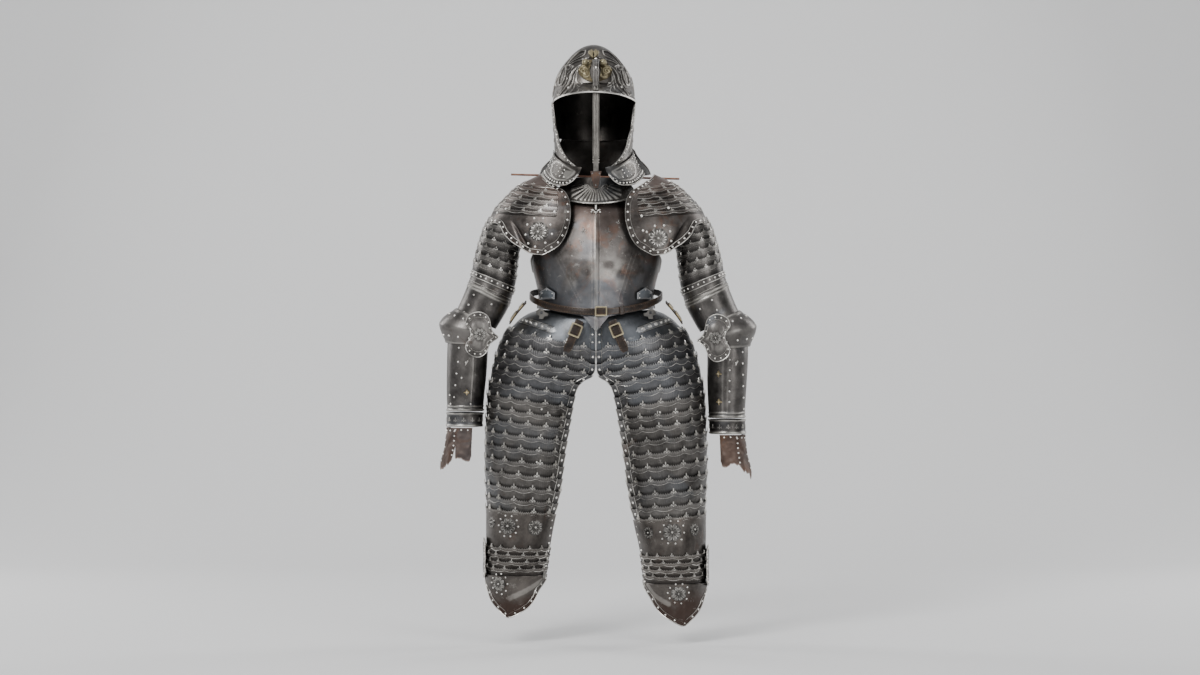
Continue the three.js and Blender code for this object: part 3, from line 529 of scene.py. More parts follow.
def uv_path(points, n):
    """a smooth path through (u, v) points, evenly stepped"""
    p = np.asarray(points, float)
    q = np.concatenate([[2 * p[0] - p[1]], p, [2 * p[-1] - p[-2]]])
    out = []
    for i in range(1, len(q) - 2):
        t = np.linspace(0, 1, 12, endpoint=False)[:, None]
        out.append(0.5 * (2 * q[i] + (q[i + 1] - q[i - 1]) * t + (2 * q[i - 1] - 5 * q[i] + 4 * q[i + 1] - q[i + 2]) * t**2 + (3 * q[i] - q[i - 1] - 3 * q[i + 1] + q[i + 2]) * t**3))
    out = np.concatenate(out + [p[-1:]])
    s = np.concatenate([[0], np.cumsum(np.linalg.norm(np.diff(out, axis=0), axis=1))])
    t = np.linspace(0, s[-1], n)
    return np.stack([np.interp(t, s, out[:, 0]), np.interp(t, s, out[:, 1])], -1)


def bead(acc, surf, path, width=1.4, height=0.8, off=0.0, n=None, wear=1.0, raw=False, closed=False):
    p = np.asarray(path, float) if raw else uv_path(path, n or 60)
    P, N = surf.frame(p[:, 0], p[:, 1])
    strip(acc, P + N * off, N, width, height, wear=wear, closed=closed)


def stud_row(acc, surf, path, count, r=2.2, off=0.0, raw=False, wear=1.0, ends=True):
    p = np.asarray(path, float) if raw else uv_path(path, 400)
    P = surf.at(p[:, 0], p[:, 1])
    s = np.concatenate([[0], np.cumsum(np.linalg.norm(np.diff(P, axis=0), axis=1))])
    t = np.linspace(0, s[-1], count) if ends else (np.arange(count) + 0.5) / count * s[-1]
    add_studs(acc, surf, np.interp(t, s, p[:, 0]), np.interp(t, s, p[:, 1]), r, off, wear=wear)


# ------------------------------------------------------------------ materials
def nodes_of(name):
    m = bpy.data.materials.new(name)
    m.use_nodes = True
    nt = m.node_tree
    nt.nodes.clear()
    out = nt.nodes.new("ShaderNodeOutputMaterial")
    b = nt.nodes.new("ShaderNodeBsdfPrincipled")
    nt.links.new(b.outputs[0], out.inputs[0])
    return m, nt, b


def coords(nt):
    return nt.nodes.new("ShaderNodeTexCoord").outputs["Object"]


def noise(nt, co, scale, detail=3.0, rough=0.55, distort=0.0):
    n = nt.nodes.new("ShaderNodeTexNoise")
    n.inputs["Scale"].default_value = scale
    n.inputs["Detail"].default_value = detail
    n.inputs["Roughness"].default_value = rough
    n.inputs["Distortion"].default_value = distort
    nt.links.new(co, n.inputs["Vector"])
    return n.outputs["Fac"]


def ramp(nt, fac, stops):
    r = nt.nodes.new("ShaderNodeValToRGB")
    el = r.color_ramp.elements
    while len(el) > 1:
        el.remove(el[-1])
    el[0].position, el[0].color = stops[0][0], (*stops[0][1], 1)
    for p, c in stops[1:]:
        e = el.new(p)
        e.color = (*c, 1)
    nt.links.new(fac, r.inputs[0])
    return r.outputs[0]


def grey(v):
    return (v, v, v)


def mixc(nt, fac, a, b, mode="MIX"):
    m = nt.nodes.new("ShaderNodeMix")
    m.data_type = "RGBA"
    m.blend_type = mode
    for sock, val in ((m.inputs[0], fac), (m.inputs[6], a), (m.inputs[7], b)):
        if hasattr(val, "links"):
            nt.links.new(val, sock)
        elif isinstance(val, (int, float)):
            sock.default_value = val
        else:
            sock.default_value = (*val, 1)
    return m.outputs[2]


def mth(nt, op, a, b=None, clamp=False):
    m = nt.nodes.new("ShaderNodeMath")
    m.operation = op
    m.use_clamp = clamp
    for sock, val in zip(m.inputs, (a, b)):
        if val is None:
            continue
        if hasattr(val, "links"):
            nt.links.new(val, sock)
        else:
            sock.default_value = val
    return m.outputs[0]


def attr(nt, name):
    a = nt.nodes.new("ShaderNodeAttribute")
    a.attribute_name = name
    return a.outputs["Fac"]


def bump(nt, b, height, strength=0.3, dist=0.001):
    n = nt.nodes.new("ShaderNodeBump")
    n.inputs["Strength"].default_value = strength
    n.inputs["Distance"].default_value = dist
    nt.links.new(height, n.inputs["Height"])
    nt.links.new(n.outputs[0], b.inputs["Normal"])


def height_z(nt, co):
    s = nt.nodes.new("ShaderNodeSeparateXYZ")
    nt.links.new(co, s.inputs[0])
    return s.outputs[2]


def steel(name, dark, mid, worn, russet=(0.16, 0.085, 0.055), russet_at=0.62, blue=(0.2, 0.23, 0.27), blue_at=0.55,
          rough=0.38, metal=0.92, zones=None, speck=1.0):
    m, nt, b = nodes_of(name)
    co = coords(nt)
    n1 = noise(nt, co, 9.0, 4, 0.6, 0.4)
    n2 = noise(nt, co, 34.0, 5, 0.65)
    n3 = noise(nt, co, 210.0, 3, 0.7)
    base = ramp(nt, mth(nt, "ADD", mth(nt, "MULTIPLY", n1, 0.55), mth(nt, "MULTIPLY", n2, 0.45)), [(0.36, dark), (0.62, mid)])
    nb = noise(nt, co, 5.3, 3, 0.5, 0.8)
    base = mixc(nt, mth(nt, "MULTIPLY", ramp(nt, nb, [(blue_at, grey(0)), (blue_at + 0.12, grey(1))]), 0.6), base, blue)
    nr = noise(nt, co, 13.0, 5, 0.7, 1.2)
    base = mixc(nt, mth(nt, "MULTIPLY", ramp(nt, nr, [(russet_at, grey(0)), (russet_at + 0.12, grey(1))]), 0.75), base, russet)
    if zones:
        z = height_z(nt, co)
        for (z0, z1, colour, amount) in zones:
            f = nt.nodes.new("ShaderNodeMapRange")
            f.inputs["From Min"].default_value, f.inputs["From Max"].default_value = z0, z1
            nt.links.new(mth(nt, "ADD", z, mth(nt, "MULTIPLY", mth(nt, "SUBTRACT", n1, 0.5), 0.14)), f.inputs["Value"])
            base = mixc(nt, mth(nt, "MULTIPLY", f.outputs[0], amount), base, colour)
    # the point attribute holds real wear and painted light: negative values paint shade towards a near-black (lame
    # gaps, under overlapping edges, the pauldron crease, rosette grounds, inner faces; elsewhere darker hollows),
    # positive values lighten towards the worn colour (rubbed edges and raised work, and painted light on the knee
    # wings)
    w = attr(nt, "wear")
    pos = mth(nt, "MULTIPLY", w, 1.0, True)
    neg = mth(nt, "MULTIPLY", w, -1.0, True)
    wear = mth(nt, "MULTIPLY", pos, ramp(nt, n2, [(0.3, grey(0.35)), (0.55, grey(1.0))]), True)
    scuff = mth(nt, "MULTIPLY", ramp(nt, noise(nt, co, 60.0, 6, 0.75, 0.3), [(0.6, grey(0)), (0.72, grey(1))]), 0.35 * speck)
    base = mixc(nt, mth(nt, "MAXIMUM", wear, scuff), base, worn)
    base = mixc(nt, mth(nt, "MULTIPLY", neg, 0.75), base, tuple(c * 0.35 for c in dark))
    nt.links.new(base, b.inputs["Base Color"])
    b.inputs["Metallic"].default_value = metal
    r = mth(nt, "ADD", mth(nt, "MULTIPLY", n2, 0.32), mth(nt, "MULTIPLY", n3, 0.1))
    nt.links.new(mth(nt, "ADD", r, rough - 0.2), b.inputs["Roughness"])
    h = mth(nt, "ADD", mth(nt, "MULTIPLY", n3, 0.5), mth(nt, "MULTIPLY", n2, 1.2))
    bump(nt, b, h, 0.35, 0.0007)
    return m


def plain(name, lo, hi, metal, rough, scale=40.0, bmp=0.25, worn=None):
    m, nt, b = nodes_of(name)
    co = coords(nt)
    n = noise(nt, co, scale, 5, 0.6)
    base = ramp(nt, n, [(0.35, lo), (0.65, hi)])
    if worn:
        base = mixc(nt, mth(nt, "MULTIPLY", mth(nt, "MULTIPLY", attr(nt, "wear"), 1.0, True), 0.8), base, worn)
    nt.links.new(base, b.inputs["Base Color"])
    b.inputs["Metallic"].default_value = metal
    nt.links.new(mth(nt, "ADD", mth(nt, "MULTIPLY", n, 0.25), rough - 0.12), b.inputs["Roughness"])
    bump(nt, b, mth(nt, "ADD", n, mth(nt, "MULTIPLY", noise(nt, co, scale * 7, 3, 0.7), 0.6)), bmp, 0.0006)
    return m


M = {
    "steel": steel("browned_steel", (0.036, 0.033, 0.031), (0.155, 0.146, 0.137), (0.50, 0.48, 0.45), russet=(0.085, 0.05, 0.035), blue=(0.09, 0.097, 0.107)),
    "helmet": steel("helmet_steel", (0.036, 0.032, 0.029), (0.16, 0.148, 0.135), (0.56, 0.54, 0.5), russet=(0.09, 0.055, 0.04), russet_at=0.6, blue=(0.1, 0.115, 0.13)),
    "limb": steel("limb_steel", (0.038, 0.035, 0.033), (0.16, 0.15, 0.142), (0.54, 0.52, 0.48), russet=(0.09, 0.055, 0.04), russet_at=0.64, blue=(0.1, 0.115, 0.135)),
    "shoulder": steel("shoulder_steel", (0.04, 0.034, 0.031), (0.15, 0.135, 0.125), (0.56, 0.54, 0.5), russet=(0.11, 0.065, 0.046), russet_at=0.56, blue=(0.11, 0.12, 0.135),
                      zones=[(-0.07, -0.03, (0.135, 0.088, 0.07), 0.75)]),
    "blue": steel("bluish_steel", (0.04, 0.042, 0.045), (0.128, 0.132, 0.138), (0.58, 0.58, 0.58), russet=(0.1, 0.065, 0.05), russet_at=0.68, blue_at=0.42,
                  blue=(0.115, 0.127, 0.143)),
    "thigh": steel("thigh_steel", (0.042, 0.041, 0.042), (0.155, 0.153, 0.155), (0.54, 0.53, 0.51), russet=(0.095, 0.06, 0.045), russet_at=0.66, blue_at=0.46, blue=(0.105, 0.113, 0.125)),
    "breast": steel("breast_steel", (0.042, 0.037, 0.034), (0.158, 0.145, 0.137), (0.56, 0.54, 0.5), russet=(0.15, 0.09, 0.067), russet_at=0.52,
                    blue_at=0.5, blue=(0.145, 0.155, 0.17), speck=1.6,
                    zones=[(-0.14, -0.07, (0.135, 0.088, 0.07), 0.7), (-0.255, -0.30, (0.12, 0.128, 0.142), 0.55)]),
    "bright": steel("bright_steel", (0.09, 0.085, 0.08), (0.36, 0.345, 0.32), (0.68, 0.66, 0.62), russet=(0.12, 0.08, 0.06), blue=(0.2, 0.21, 0.23), russet_at=0.75, blue_at=0.7, rough=0.34, metal=1.0),
    "bronze": plain("dark_bronze", (0.03, 0.024, 0.014), (0.13, 0.105, 0.06), 0.9, 0.42, 40.0, 0.5, (0.42, 0.37, 0.24)),
    "nasal": steel("nasal_steel", (0.05, 0.047, 0.043), (0.18, 0.17, 0.155), (0.36, 0.345, 0.315), russet=(0.1, 0.065, 0.045), russet_at=0.6, blue_at=0.8),
    "plate_light": steel("waist_steel", (0.16, 0.17, 0.185), (0.36, 0.38, 0.4), (0.6, 0.6, 0.6), russet=(0.2, 0.17, 0.15), russet_at=0.75, blue_at=0.4, blue=(0.26, 0.31, 0.37)),
    "knee": steel("knee_steel", (0.036, 0.031, 0.028), (0.145, 0.13, 0.118), (0.54, 0.52, 0.48), russet=(0.085, 0.05, 0.036), russet_at=0.58, blue_at=0.7,
                  zones=[(-0.99, -1.02, (0.055, 0.034, 0.027), 0.8)]),
    "rivet": steel("rivet_steel", (0.40, 0.38, 0.34), (0.74, 0.71, 0.65), (0.92, 0.9, 0.85), russet=(0.3, 0.24, 0.18), russet_at=0.72, blue_at=0.9, rough=0.34, metal=0.9, speck=0.4),
    "line": steel("raised_line_steel", (0.06, 0.056, 0.052), (0.26, 0.25, 0.235), (0.66, 0.64, 0.6), russet=(0.1, 0.065, 0.05), russet_at=0.66, blue_at=0.7, rough=0.36, metal=1.0, speck=0.4),
    "russet": steel("rusted_iron", (0.04, 0.026, 0.02), (0.125, 0.082, 0.064), (0.30, 0.24, 0.21), russet=(0.13, 0.068, 0.04), russet_at=0.5,
                    blue_at=0.6, blue=(0.1, 0.09, 0.09), rough=0.55, metal=0.6),
    "rod": plain("rod_iron", (0.13, 0.055, 0.035), (0.30, 0.16, 0.11), 0.35, 0.5, 60.0),
    "brass": plain("aged_gilt", (0.17, 0.125, 0.06), (0.46, 0.36, 0.19), 1.0, 0.32, 50.0, 0.2, (0.86, 0.76, 0.52)),
    "leather": plain("dark_leather", (0.007, 0.0035, 0.0018), (0.025, 0.012, 0.0055), 0.0, 0.36, 55.0, 0.5, (0.085, 0.048, 0.023)),
    "thread": plain("waxed_thread", (0.16, 0.12, 0.08), (0.26, 0.2, 0.14), 0.0, 0.7, 90.0),
}

# every CAD node that stays in view has a material too
CAD_MAT = {}
for ob in bpy.data.objects:
    if ob.type == "MESH":
        n = ob.name
        key = ("brass" if n.startswith(("brow_ornament", "belt_buckle", "hip_buckle")) else
               "leather" if n.startswith(("belt", "hip_strap", "side_strap")) else
               "rod" if n.startswith("support_rod") else
               "russet" if n.startswith(("nasal_bracket", "hand_plate")) else
               "bright" if n.startswith(("nasal_bar", "waist_plate", "turning_hook")) else
               "breast" if n.startswith("breastplate") else "blue" if n.startswith("hip_plate") else "steel")
        ob.data.materials.clear()
        ob.data.materials.append(M[key])


# ------------------------------------------------------------------ relief
def relief(P, ridges):
    """height of embossed lines at points P: each ridge is (polyline, half width, height)"""
    flat = P.reshape(-1, 3)
    out = np.zeros(len(flat))
    for Q, w, h in ridges:
        Q = np.asarray(Q, float)
        wm = float(np.max(w))
        m = np.all((flat > Q.min(0) - 2.5 * wm) & (flat < Q.max(0) + 2.5 * wm), axis=1)
        if not m.any():
            continue
        A = flat[m]
        D = np.full(len(A), 1e9); k = np.zeros(len(A), int)
        for s in range(0, len(Q), 64):
            d = ((A[:, None] - Q[None, s:s + 64]) ** 2).sum(-1)
            i = d.argmin(1); dm = d[np.arange(len(A)), i]
            better = dm < D
            D[better] = dm[better]; k[better] = i[better] + s
        ww = np.broadcast_to(np.asarray(w, float), (len(Q),))[k]
        hh = np.broadcast_to(np.asarray(h, float), (len(Q),))[k]
        val = hh * np.exp(-D / ww**2)
        cur = out[m]
        out[m] = np.where(np.abs(val) > np.abs(cur), val, cur)
    return out.reshape(P.shape[:-1])


def dense(Q, step=1.5):
    Q = np.asarray(Q, float)
    s = np.concatenate([[0], np.cumsum(np.linalg.norm(np.diff(Q, axis=0), axis=1))])
    t = np.linspace(0, s[-1], max(3, int(s[-1] / step)))
    return np.stack([np.interp(t, s, Q[:, i]) for i in range(Q.shape[1])], -1)


def spiral(cx, cz, r0, r1, turns, start, way=1, n=40):
    t = np.linspace(0, 1, n)
    a = start + way * 2 * np.pi * turns * t
    r = lerp(r0, r1, t)
    return np.stack([cx + r * np.cos(a), cz + r * np.sin(a)], -1)


def crv(points, n=40):
    return uv_path(points, n)


def around(surf, v, u0=0.0, u1=1.0, n=120):
    u = np.linspace(u0, u1, n)
    return np.stack([u, np.broadcast_to(np.asarray(v, float), u.shape)], -1)


# ================================================================== helmet
bowl = table(["z", "w", "f", "b"], [
    [315, 0.6, 0.6, 0.6], [313.5, 11, 14, 15], [307, 29, 36, 38], [295, 46, 57, 60], [283, 58, 72, 76], [270, 69, 86, 90],
    [255, 80, 99, 102], [240, 88, 108, 110], [220, 94, 115, 116], [193, 97, 118, 118], [177, 97.5, 118, 118],
    [150, 96, 117, 116], [120, 93, 115, 113], [92, 90, 113, 110]])
SKULL_X = -6


def from_front(a):
    return np.degrees(np.abs(np.arctan2(np.sin(a), np.cos(a))))


def skull_end(a):
    d = from_front(a)
    return np.where(d <= 73, 188 - 17 * (d / 73) ** 2, lerp(171, 92, smooth((d - 73) / 11)))


def skull_f(u, v):
    a = 2 * np.pi * np.asarray(u, float)
    end, d = skull_end(a), from_front(a)
    z = lerp(315.0, end, 1 - np.cos(np.clip(v, 0, 1.02) * np.pi / 2))
    s = bowl(z)
    p = ring(a, x=SKULL_X, z=z, w=s["w"], f=s["f"], b=s["b"])
    reach = np.where(d < 73, 40 * np.cos(rad(90 * d / 73)), 0)
    out = np.where(z < 212, reach * (212 - z) / (212 - end), 0)
    dx, dy = np.sin(a) * 0.35, -np.cos(a)
    n = np.sqrt(dx**2 + dy**2)
    p = p + vec(dx / n * out, dy / n * out, 0 * out)
    lip = smooth((np.asarray(v, float) - 0.86) / 0.14) * np.exp(-((d - 66) / 14) ** 2)
    return p + vec(np.where(np.sin(a) > 0, 8.0, 3.5) * np.sign(np.sin(a)) * lip, 0 * lip, -1.5 * lip)


def on_bowl(x, z, off=0.0):
    """the bowl's front face at a spot"""
    s = bowl(z)
    a = np.arcsin(np.clip((np.asarray(x, float) - SKULL_X) / s["w"], -0.96, 0.96))
    return ring(a, x=SKULL_X, z=z, w=s["w"], f=s["f"], b=s["b"], off=off)


skull = Surf(skull_f, (SKULL_X, 0, 150))
ridges = []
LEAVES = [                                           # leaf edges and veins over the bowl, in the front view
    ([(640, 170), (540, 190), (430, 290), (340, 410)], 2.4, 2.6), ([(640, 172), (605, 255), (440, 340), (340, 418)], 1.9, 2.0),
    ([(600, 215), (500, 275), (400, 360)], 1.3, 1.2), ([(690, 300), (590, 325), (480, 355), (390, 405), (335, 425)], 2.0, 2.2),
    ([(430, 472), (445, 432), (385, 408), (342, 440), (360, 485), (395, 470)], 1.7, 2.2), ([(565, 420), (470, 480), (415, 560), (395, 640), (335, 765), (215, 935)], 2.3, 2.5),
    ([(318, 400), (332, 500), (302, 640), (242, 745), (222, 690), (242, 560), (300, 432)], 2.1, 2.5), ([(300, 470), (282, 590), (245, 700)], 1.3, 1.4),
    ([(522, 470), (462, 600), (438, 700), (378, 805), (258, 935)], 2.0, 2.3), ([(482, 600), (470, 720), (438, 820), (330, 922)], 2.0, 2.2),
    ([(478, 680), (500, 742), (562, 772), (700, 762)], 2.0, 2.4), ([(492, 762), (520, 830), (480, 905)], 1.7, 1.8),
    ([(540, 470), (502, 560), (498, 680), (560, 742)], 1.8, 2.2), ([(270, 510), (192, 600), (168, 705), (190, 760)], 1.8, 2.2),
    ([(400, 520), (352, 560), (345, 640), (300, 760), (205, 900)], 1.5, 1.7), ([(118, 930), (140, 800), (172, 700)], 1.6, 1.8),
    ([(300, 432), (210, 540), (150, 690)], 1.6, 1.8), ([(178, 850), (205, 900), (250, 880)], 1.5, 1.6), ([(540, 800), (600, 830), (700, 822)], 1.4, 1.2),
    ([(560, 185), (450, 235), (330, 370), (285, 420)], 1.6, 1.8)]
for pts, w_, h_ in LEAVES:
    for side in (1, -1):
        q = np.array([((x if side > 0 else 1540 - x), y) for x, y in pts], float)
        X = ((545 + q[:, 0] / 15.68 - 600) * 2.4) / 1.0145 + 9.6
        Z = (-(38 + q[:, 1] / 15.68 - 337.5) * 2.4) / 1.0145 - 387.6
        ext = crv(list(zip(X, Z)), 50)
        Q = on_bowl(ext[:, 0], ext[:, 1])
        low = ext[:, 1] < 212                       # below the rim line the plate leans outwards into the brim
        if low.any():
            g = np.array([-0.02 if X.mean() < 0 else 0.02, 0.7])
            for i in np.nonzero(low)[0]:
                k_ = 7000.0 / 6870.0
                try:
                    g = locate(skull, 9.6 + (ext[i, 0] - 9.6) * 1.0145, -387.6 + (ext[i, 1] + 387.6) * 1.0145, g, (0.03, 0.08))
                    g = np.array([np.clip(g[0], -0.24, 0.24), np.clip(g[1], 0.3, 0.99)])
                    Q[i] = skull.f(g[0], g[1])
                except Exception:
                    pass
        t = np.linspace(0, 1, len(Q))
        ridges.append((dense(Q, 1.0), w_, h_ * 1.25))
for k in range(4):                                   # plainer ribs over the back
    for side in (1, -1):
        t = np.linspace(0.15, 0.8, 60)
        ridges.append((skull.f((104 + 21 * k) * side / 360 % 1.0, t), 2.2, 1.6))
acc = Acc()
us = np.linspace(0, 1, 301)[:-1]
vs = np.concatenate([np.linspace(0.02, 0.2, 10)[:-1], np.linspace(0.2, 1.0, 70)])


def skull_disp(u, v, P):
    d = relief(P, ridges)
    fade = smooth((np.abs(P[..., 0] - 0) + 40 * (P[..., 2] > 262) - 11) / 5)
    z = P[..., 2]
    bead_ = 1.1 * np.exp(-((v - 0.955) / 0.012) ** 2) + 0.8 * np.exp(-((v - 0.90) / 0.010) ** 2)
    return d * fade + bead_ * (from_front(2 * np.pi * u) < 82)


wide = [(Q, np.asarray(w) * 1.9, h) for Q, w, h in ridges]


def relief_wear(u, v, P):
    r, rw = relief(P, ridges), relief(P, wide)
    return np.clip(r / 2.2 - 0.1, 0, 0.95) - 1.1 * np.clip((rw - r) / 1.2, 0, 1) + 0.03


plate(acc, skull, us, vs, thick=1.8, disp=skull_disp, closed=True, wear=relief_wear, fine=1.0)
emit(acc, "helmet_bowl", M["helmet"], ["helmet_skull"], smooth_angle=60)

acc = Acc()                                          # turned edge of the brim, its rivets
ub = np.linspace(-0.232, 0.232, 130)
bead(acc, skull, np.stack([ub, np.full(130, 0.995)], -1), 4.2, 1.6, raw=True)
for s in (1, -1):
    ur = np.linspace(0.236, 0.5, 60) * s
    bead(acc, skull, np.stack([ur % 1.0, np.full(60, 0.99)], -1), 3.0, 1.2, raw=True)
for (px, py, g) in ((582, 83.6, -0.03), (609.1, 83.3, 0.03), (568.6, 87.7, -0.08), (621.5, 87.4, 0.08)):
    uv = locate(skull, (px - 600) * 2.4 + 9.6, -387.6 - (py - 337.5) * 2.4, (g, 0.8), (0.03, 0.08))
    add_studs(acc, skull, uv[:1], uv[1:], 3.4, 0.3)
add_studs(acc, skull, np.array([-0.205, 0.205]), np.full(2, 0.925), 2.8, 0.2)
for s in (1, -1):
    add_studs(acc, skull, (np.array([0.25, 0.285, 0.33, 0.375, 0.42, 0.465]) * s) % 1.0, np.full(6, 0.94), 2.6, 0)
emit(acc, "helmet_edges", M["line"])

# fluted hook over the upper end of the nasal bar
hook = table(["s", "y", "z", "w"], [[0, -93, 267, 9], [0.25, -125, 268, 9], [0.5, -150, 260, 8.5], [0.75, -159, 238, 7.5], [1, -160, 203, 6]])


def hook_f(u, v):
    s = hook(v)
    return vec((2 * np.asarray(u) - 1) * s["w"], s["y"], s["z"])


hk = Surf(hook_f, (0, -60, 150))
acc = Acc()
plate(acc, hk, np.linspace(0, 1, 33), np.linspace(0, 1, 60), thick=3.0,
      disp=lambda u, v, P: -0.9 * (0.5 + 0.5 * np.cos(2 * np.pi * u * 4)), wear=lambda u, v, P: 0.5 - 0.9 * (0.5 + 0.5 * np.cos(2 * np.pi * u * 4)))
emit(acc, "brow_hook_fluted", M["steel"], ["brow_hook"])
acc = Acc()
dome(acc, [[0, -157.5, 246]], [[0, -1, 0.25]], 3.4)
dome(acc, [[0, -128, 269.5]], [[0, -0.2, 1]], 3.0)
emit(acc, "brow_hook_rivets", M["rivet"])

# gilt ornament: two curled leaves, a pointed leaf over them and two balls
orn = table(["z", "half"], [[216, 8], [224, 26], [236, 36], [248, 38], [256, 30], [262, 28], [270, 14]])


def orn_f(u, v):
    z = lerp(271.0, 215.0, np.asarray(v, float))
    return on_bowl(-2 + orn(z)["half"] * (2 * np.asarray(u, float) - 1), z, 6.5)


def gilt(xz, n=None):
    return dense(on_bowl(xz[:, 0] - 2, xz[:, 1], 6.5), 0.8)


og = []
for s in (1, -1):
    og.append((gilt(spiral(-s * 0 + s * 25, 243, 9, 2, 1.5, 1.2 if s > 0 else np.pi - 1.2, s)), 1.7, 2.6))
    og.append((gilt(crv([(s * 12, 262), (s * 20, 256), (s * 30, 254), (s * 35, 246)])), 1.8, 2.2))
    og.append((gilt(crv([(s * 13, 250), (s * 12, 238), (s * 16, 228), (s * 26, 227)])), 1.8, 2.2))
    og.append((gilt(spiral(s * 24, 231, 5, 1.2, 1.3, -1.2 if s > 0 else np.pi + 1.2, -s)), 1.3, 1.8))
os_ = Surf(orn_f, (0, 0, 200))
acc = Acc()
half = lambda lo, hi: np.linspace(lo, hi, 44)
for lo, hi in ((0.0, 0.335), (0.665, 1.0)):
    plate(acc, os_, half(lo, hi), np.linspace(0, 1, 64), thick=3.0, disp=lambda u, v, P: relief(P, og) - 0.7,
          wear=lambda u, v, P: np.clip(relief(P, og) / 2.6, 0, 1))
for s in (-22.4, 13.8):
    p = on_bowl(s, 263, 12)
    dome(acc, p + np.array([0, 0.0, 0]), [[0, -1, 0.2]], 8.4, 8.4, seg=20, rings=8, wear=0.7, sink=6)
for s in (1, -1):                                    # leaf that stands over the hook
    for (x, z, turn, w, l) in ((0, 272, 0.42, 8.5, 27), (1.5, 279, 0.18, 6.0, 21)):
        p = on_bowl(-5.5 + s * x, z, 3.0)
        blob(acc, p, [[0, -0.93, 0.36]], [[math.sin(turn) * s, 0, math.cos(turn)]], lens(w, l, n=14), 3.2, 0.5, sink=2.5)
p = on_bowl(-5.5, 290, 3.0)
dome(acc, p, [[0, -0.8, 0.6]], 4.0, 4.0, wear=0.6, sink=2)
emit(acc, "brow_ornament_gilt", M["bronze"], ["brow_ornament"], smooth_angle=50)

# nasal bar: fluted face, ringed lower end
acc = Acc()


def beam(acc, zs, half, y, thick, flute=0.0, n=24, wear=0.6, chamfer=0.6):
    """upright bar facing -Y: half widths at heights zs, three flutes down its face"""
    zs = np.asarray(zs, float); half_ = np.broadcast_to(np.asarray(half, float), zs.shape)
    x = np.linspace(-1, 1, n)
    face = -thick / 2 - 0 * x + np.where(np.abs(x) > 0.93, chamfer, 0) + flute * (0.5 - 0.5 * np.cos(2 * np.pi * (x * 0.5 + 0.5) * 3)) * (np.abs(x) < 0.93)
    loop = np.concatenate([np.stack([x, face], -1), np.stack([x[::-1][[0, -1]], [thick / 2, thick / 2]], -1)])
    m = len(loop)
    V = np.stack([np.stack([loop[:, 0] * h, y + loop[:, 1], np.full(m, z)], -1) for z, h in zip(zs, half_)])
    F = quad_grid(len(zs), m, True)
    caps = []
    V2 = V.reshape(-1, 3)
    v = V2[F]
    c = V2.mean(0)
    s = np.einsum("ij,ij->", np.cross(v[:, 1] - v[:, 0], v[:, 2] - v[:, 0]), v.mean(1) - c)
    flip = s < 0
    if flip:
        F = F[:, ::-1]
    W = np.tile(np.concatenate([wear - 0.9 * (face + thick / 2) / max(flute, 0.01) * (flute > 0), [0.2, 0.2]]), len(zs))
    acc.add(V2, F, W)
    base = acc.n - len(V2)
    for k, up in ((0, zs[0] > zs[-1]), ((len(zs) - 1) * m, zs[-1] > zs[0])):
        idx = np.arange(m) + k
        n_ = np.cross(V2[idx[1]] - V2[idx[0]], V2[idx[m // 2]] - V2[idx[0]])
        tri = np.stack([np.full(m - 2, idx[-1]), idx[:-2], idx[1:-1]], -1)
        nn = np.cross(V2[tri[:, 1]] - V2[tri[:, 0]], V2[tri[:, 2]] - V2[tri[:, 0]]).sum(0)
        if (nn[2] > 0) != up:
            tri = tri[:, ::-1]
        acc.f.append(tri + base)


beam(acc, [222, 220, 150, 90, 40, 38], [7.0, 8, 8, 8, 8, 7], -146, 5, flute=1.1)
beam(acc, [41, 0, -8, -9], [6, 6, 6, 5], -146, 5, flute=0.0)
for z, h in ((24, 3.4), (30, 3.4), (36, 2.8)):
    beam(acc, [z + h / 2, z + h / 2 - 0.7, z - h / 2 + 0.7, z - h / 2], [7.2, 8, 8, 7.2], -146, 8, n=12)
emit(acc, "nasal_bar_fluted", M["nasal"], ["nasal_bar"], body="nasal", smooth_angle=30)

# cheeks
cheek = table(["z", "w", "f", "front", "back"], [
    [175, 101, 121, 75, 118], [150, 99.5, 118, 71, 118], [120, 97, 117, 69, 118], [95, 95, 116, 63, 114],
    [70, 94, 115, 57, 104], [50, 92.5, 114, 49, 86], [30, 91.5, 115, 38, 62], [12, 91, 116, 23, 44]])
collar = table(["angle", "top", "rim"], [[17, 14, -4], [25, 17, -20], [35, 19, -28], [48, 27, -26], [62, 38, -17], [78, 51, -3], [95, 63, 8]])


def mirrored(side):
    """-1 the wearer's right, as drawn; +1 the left"""
    return np.array([1.0 if side < 0 else -1.0, 1, 1])


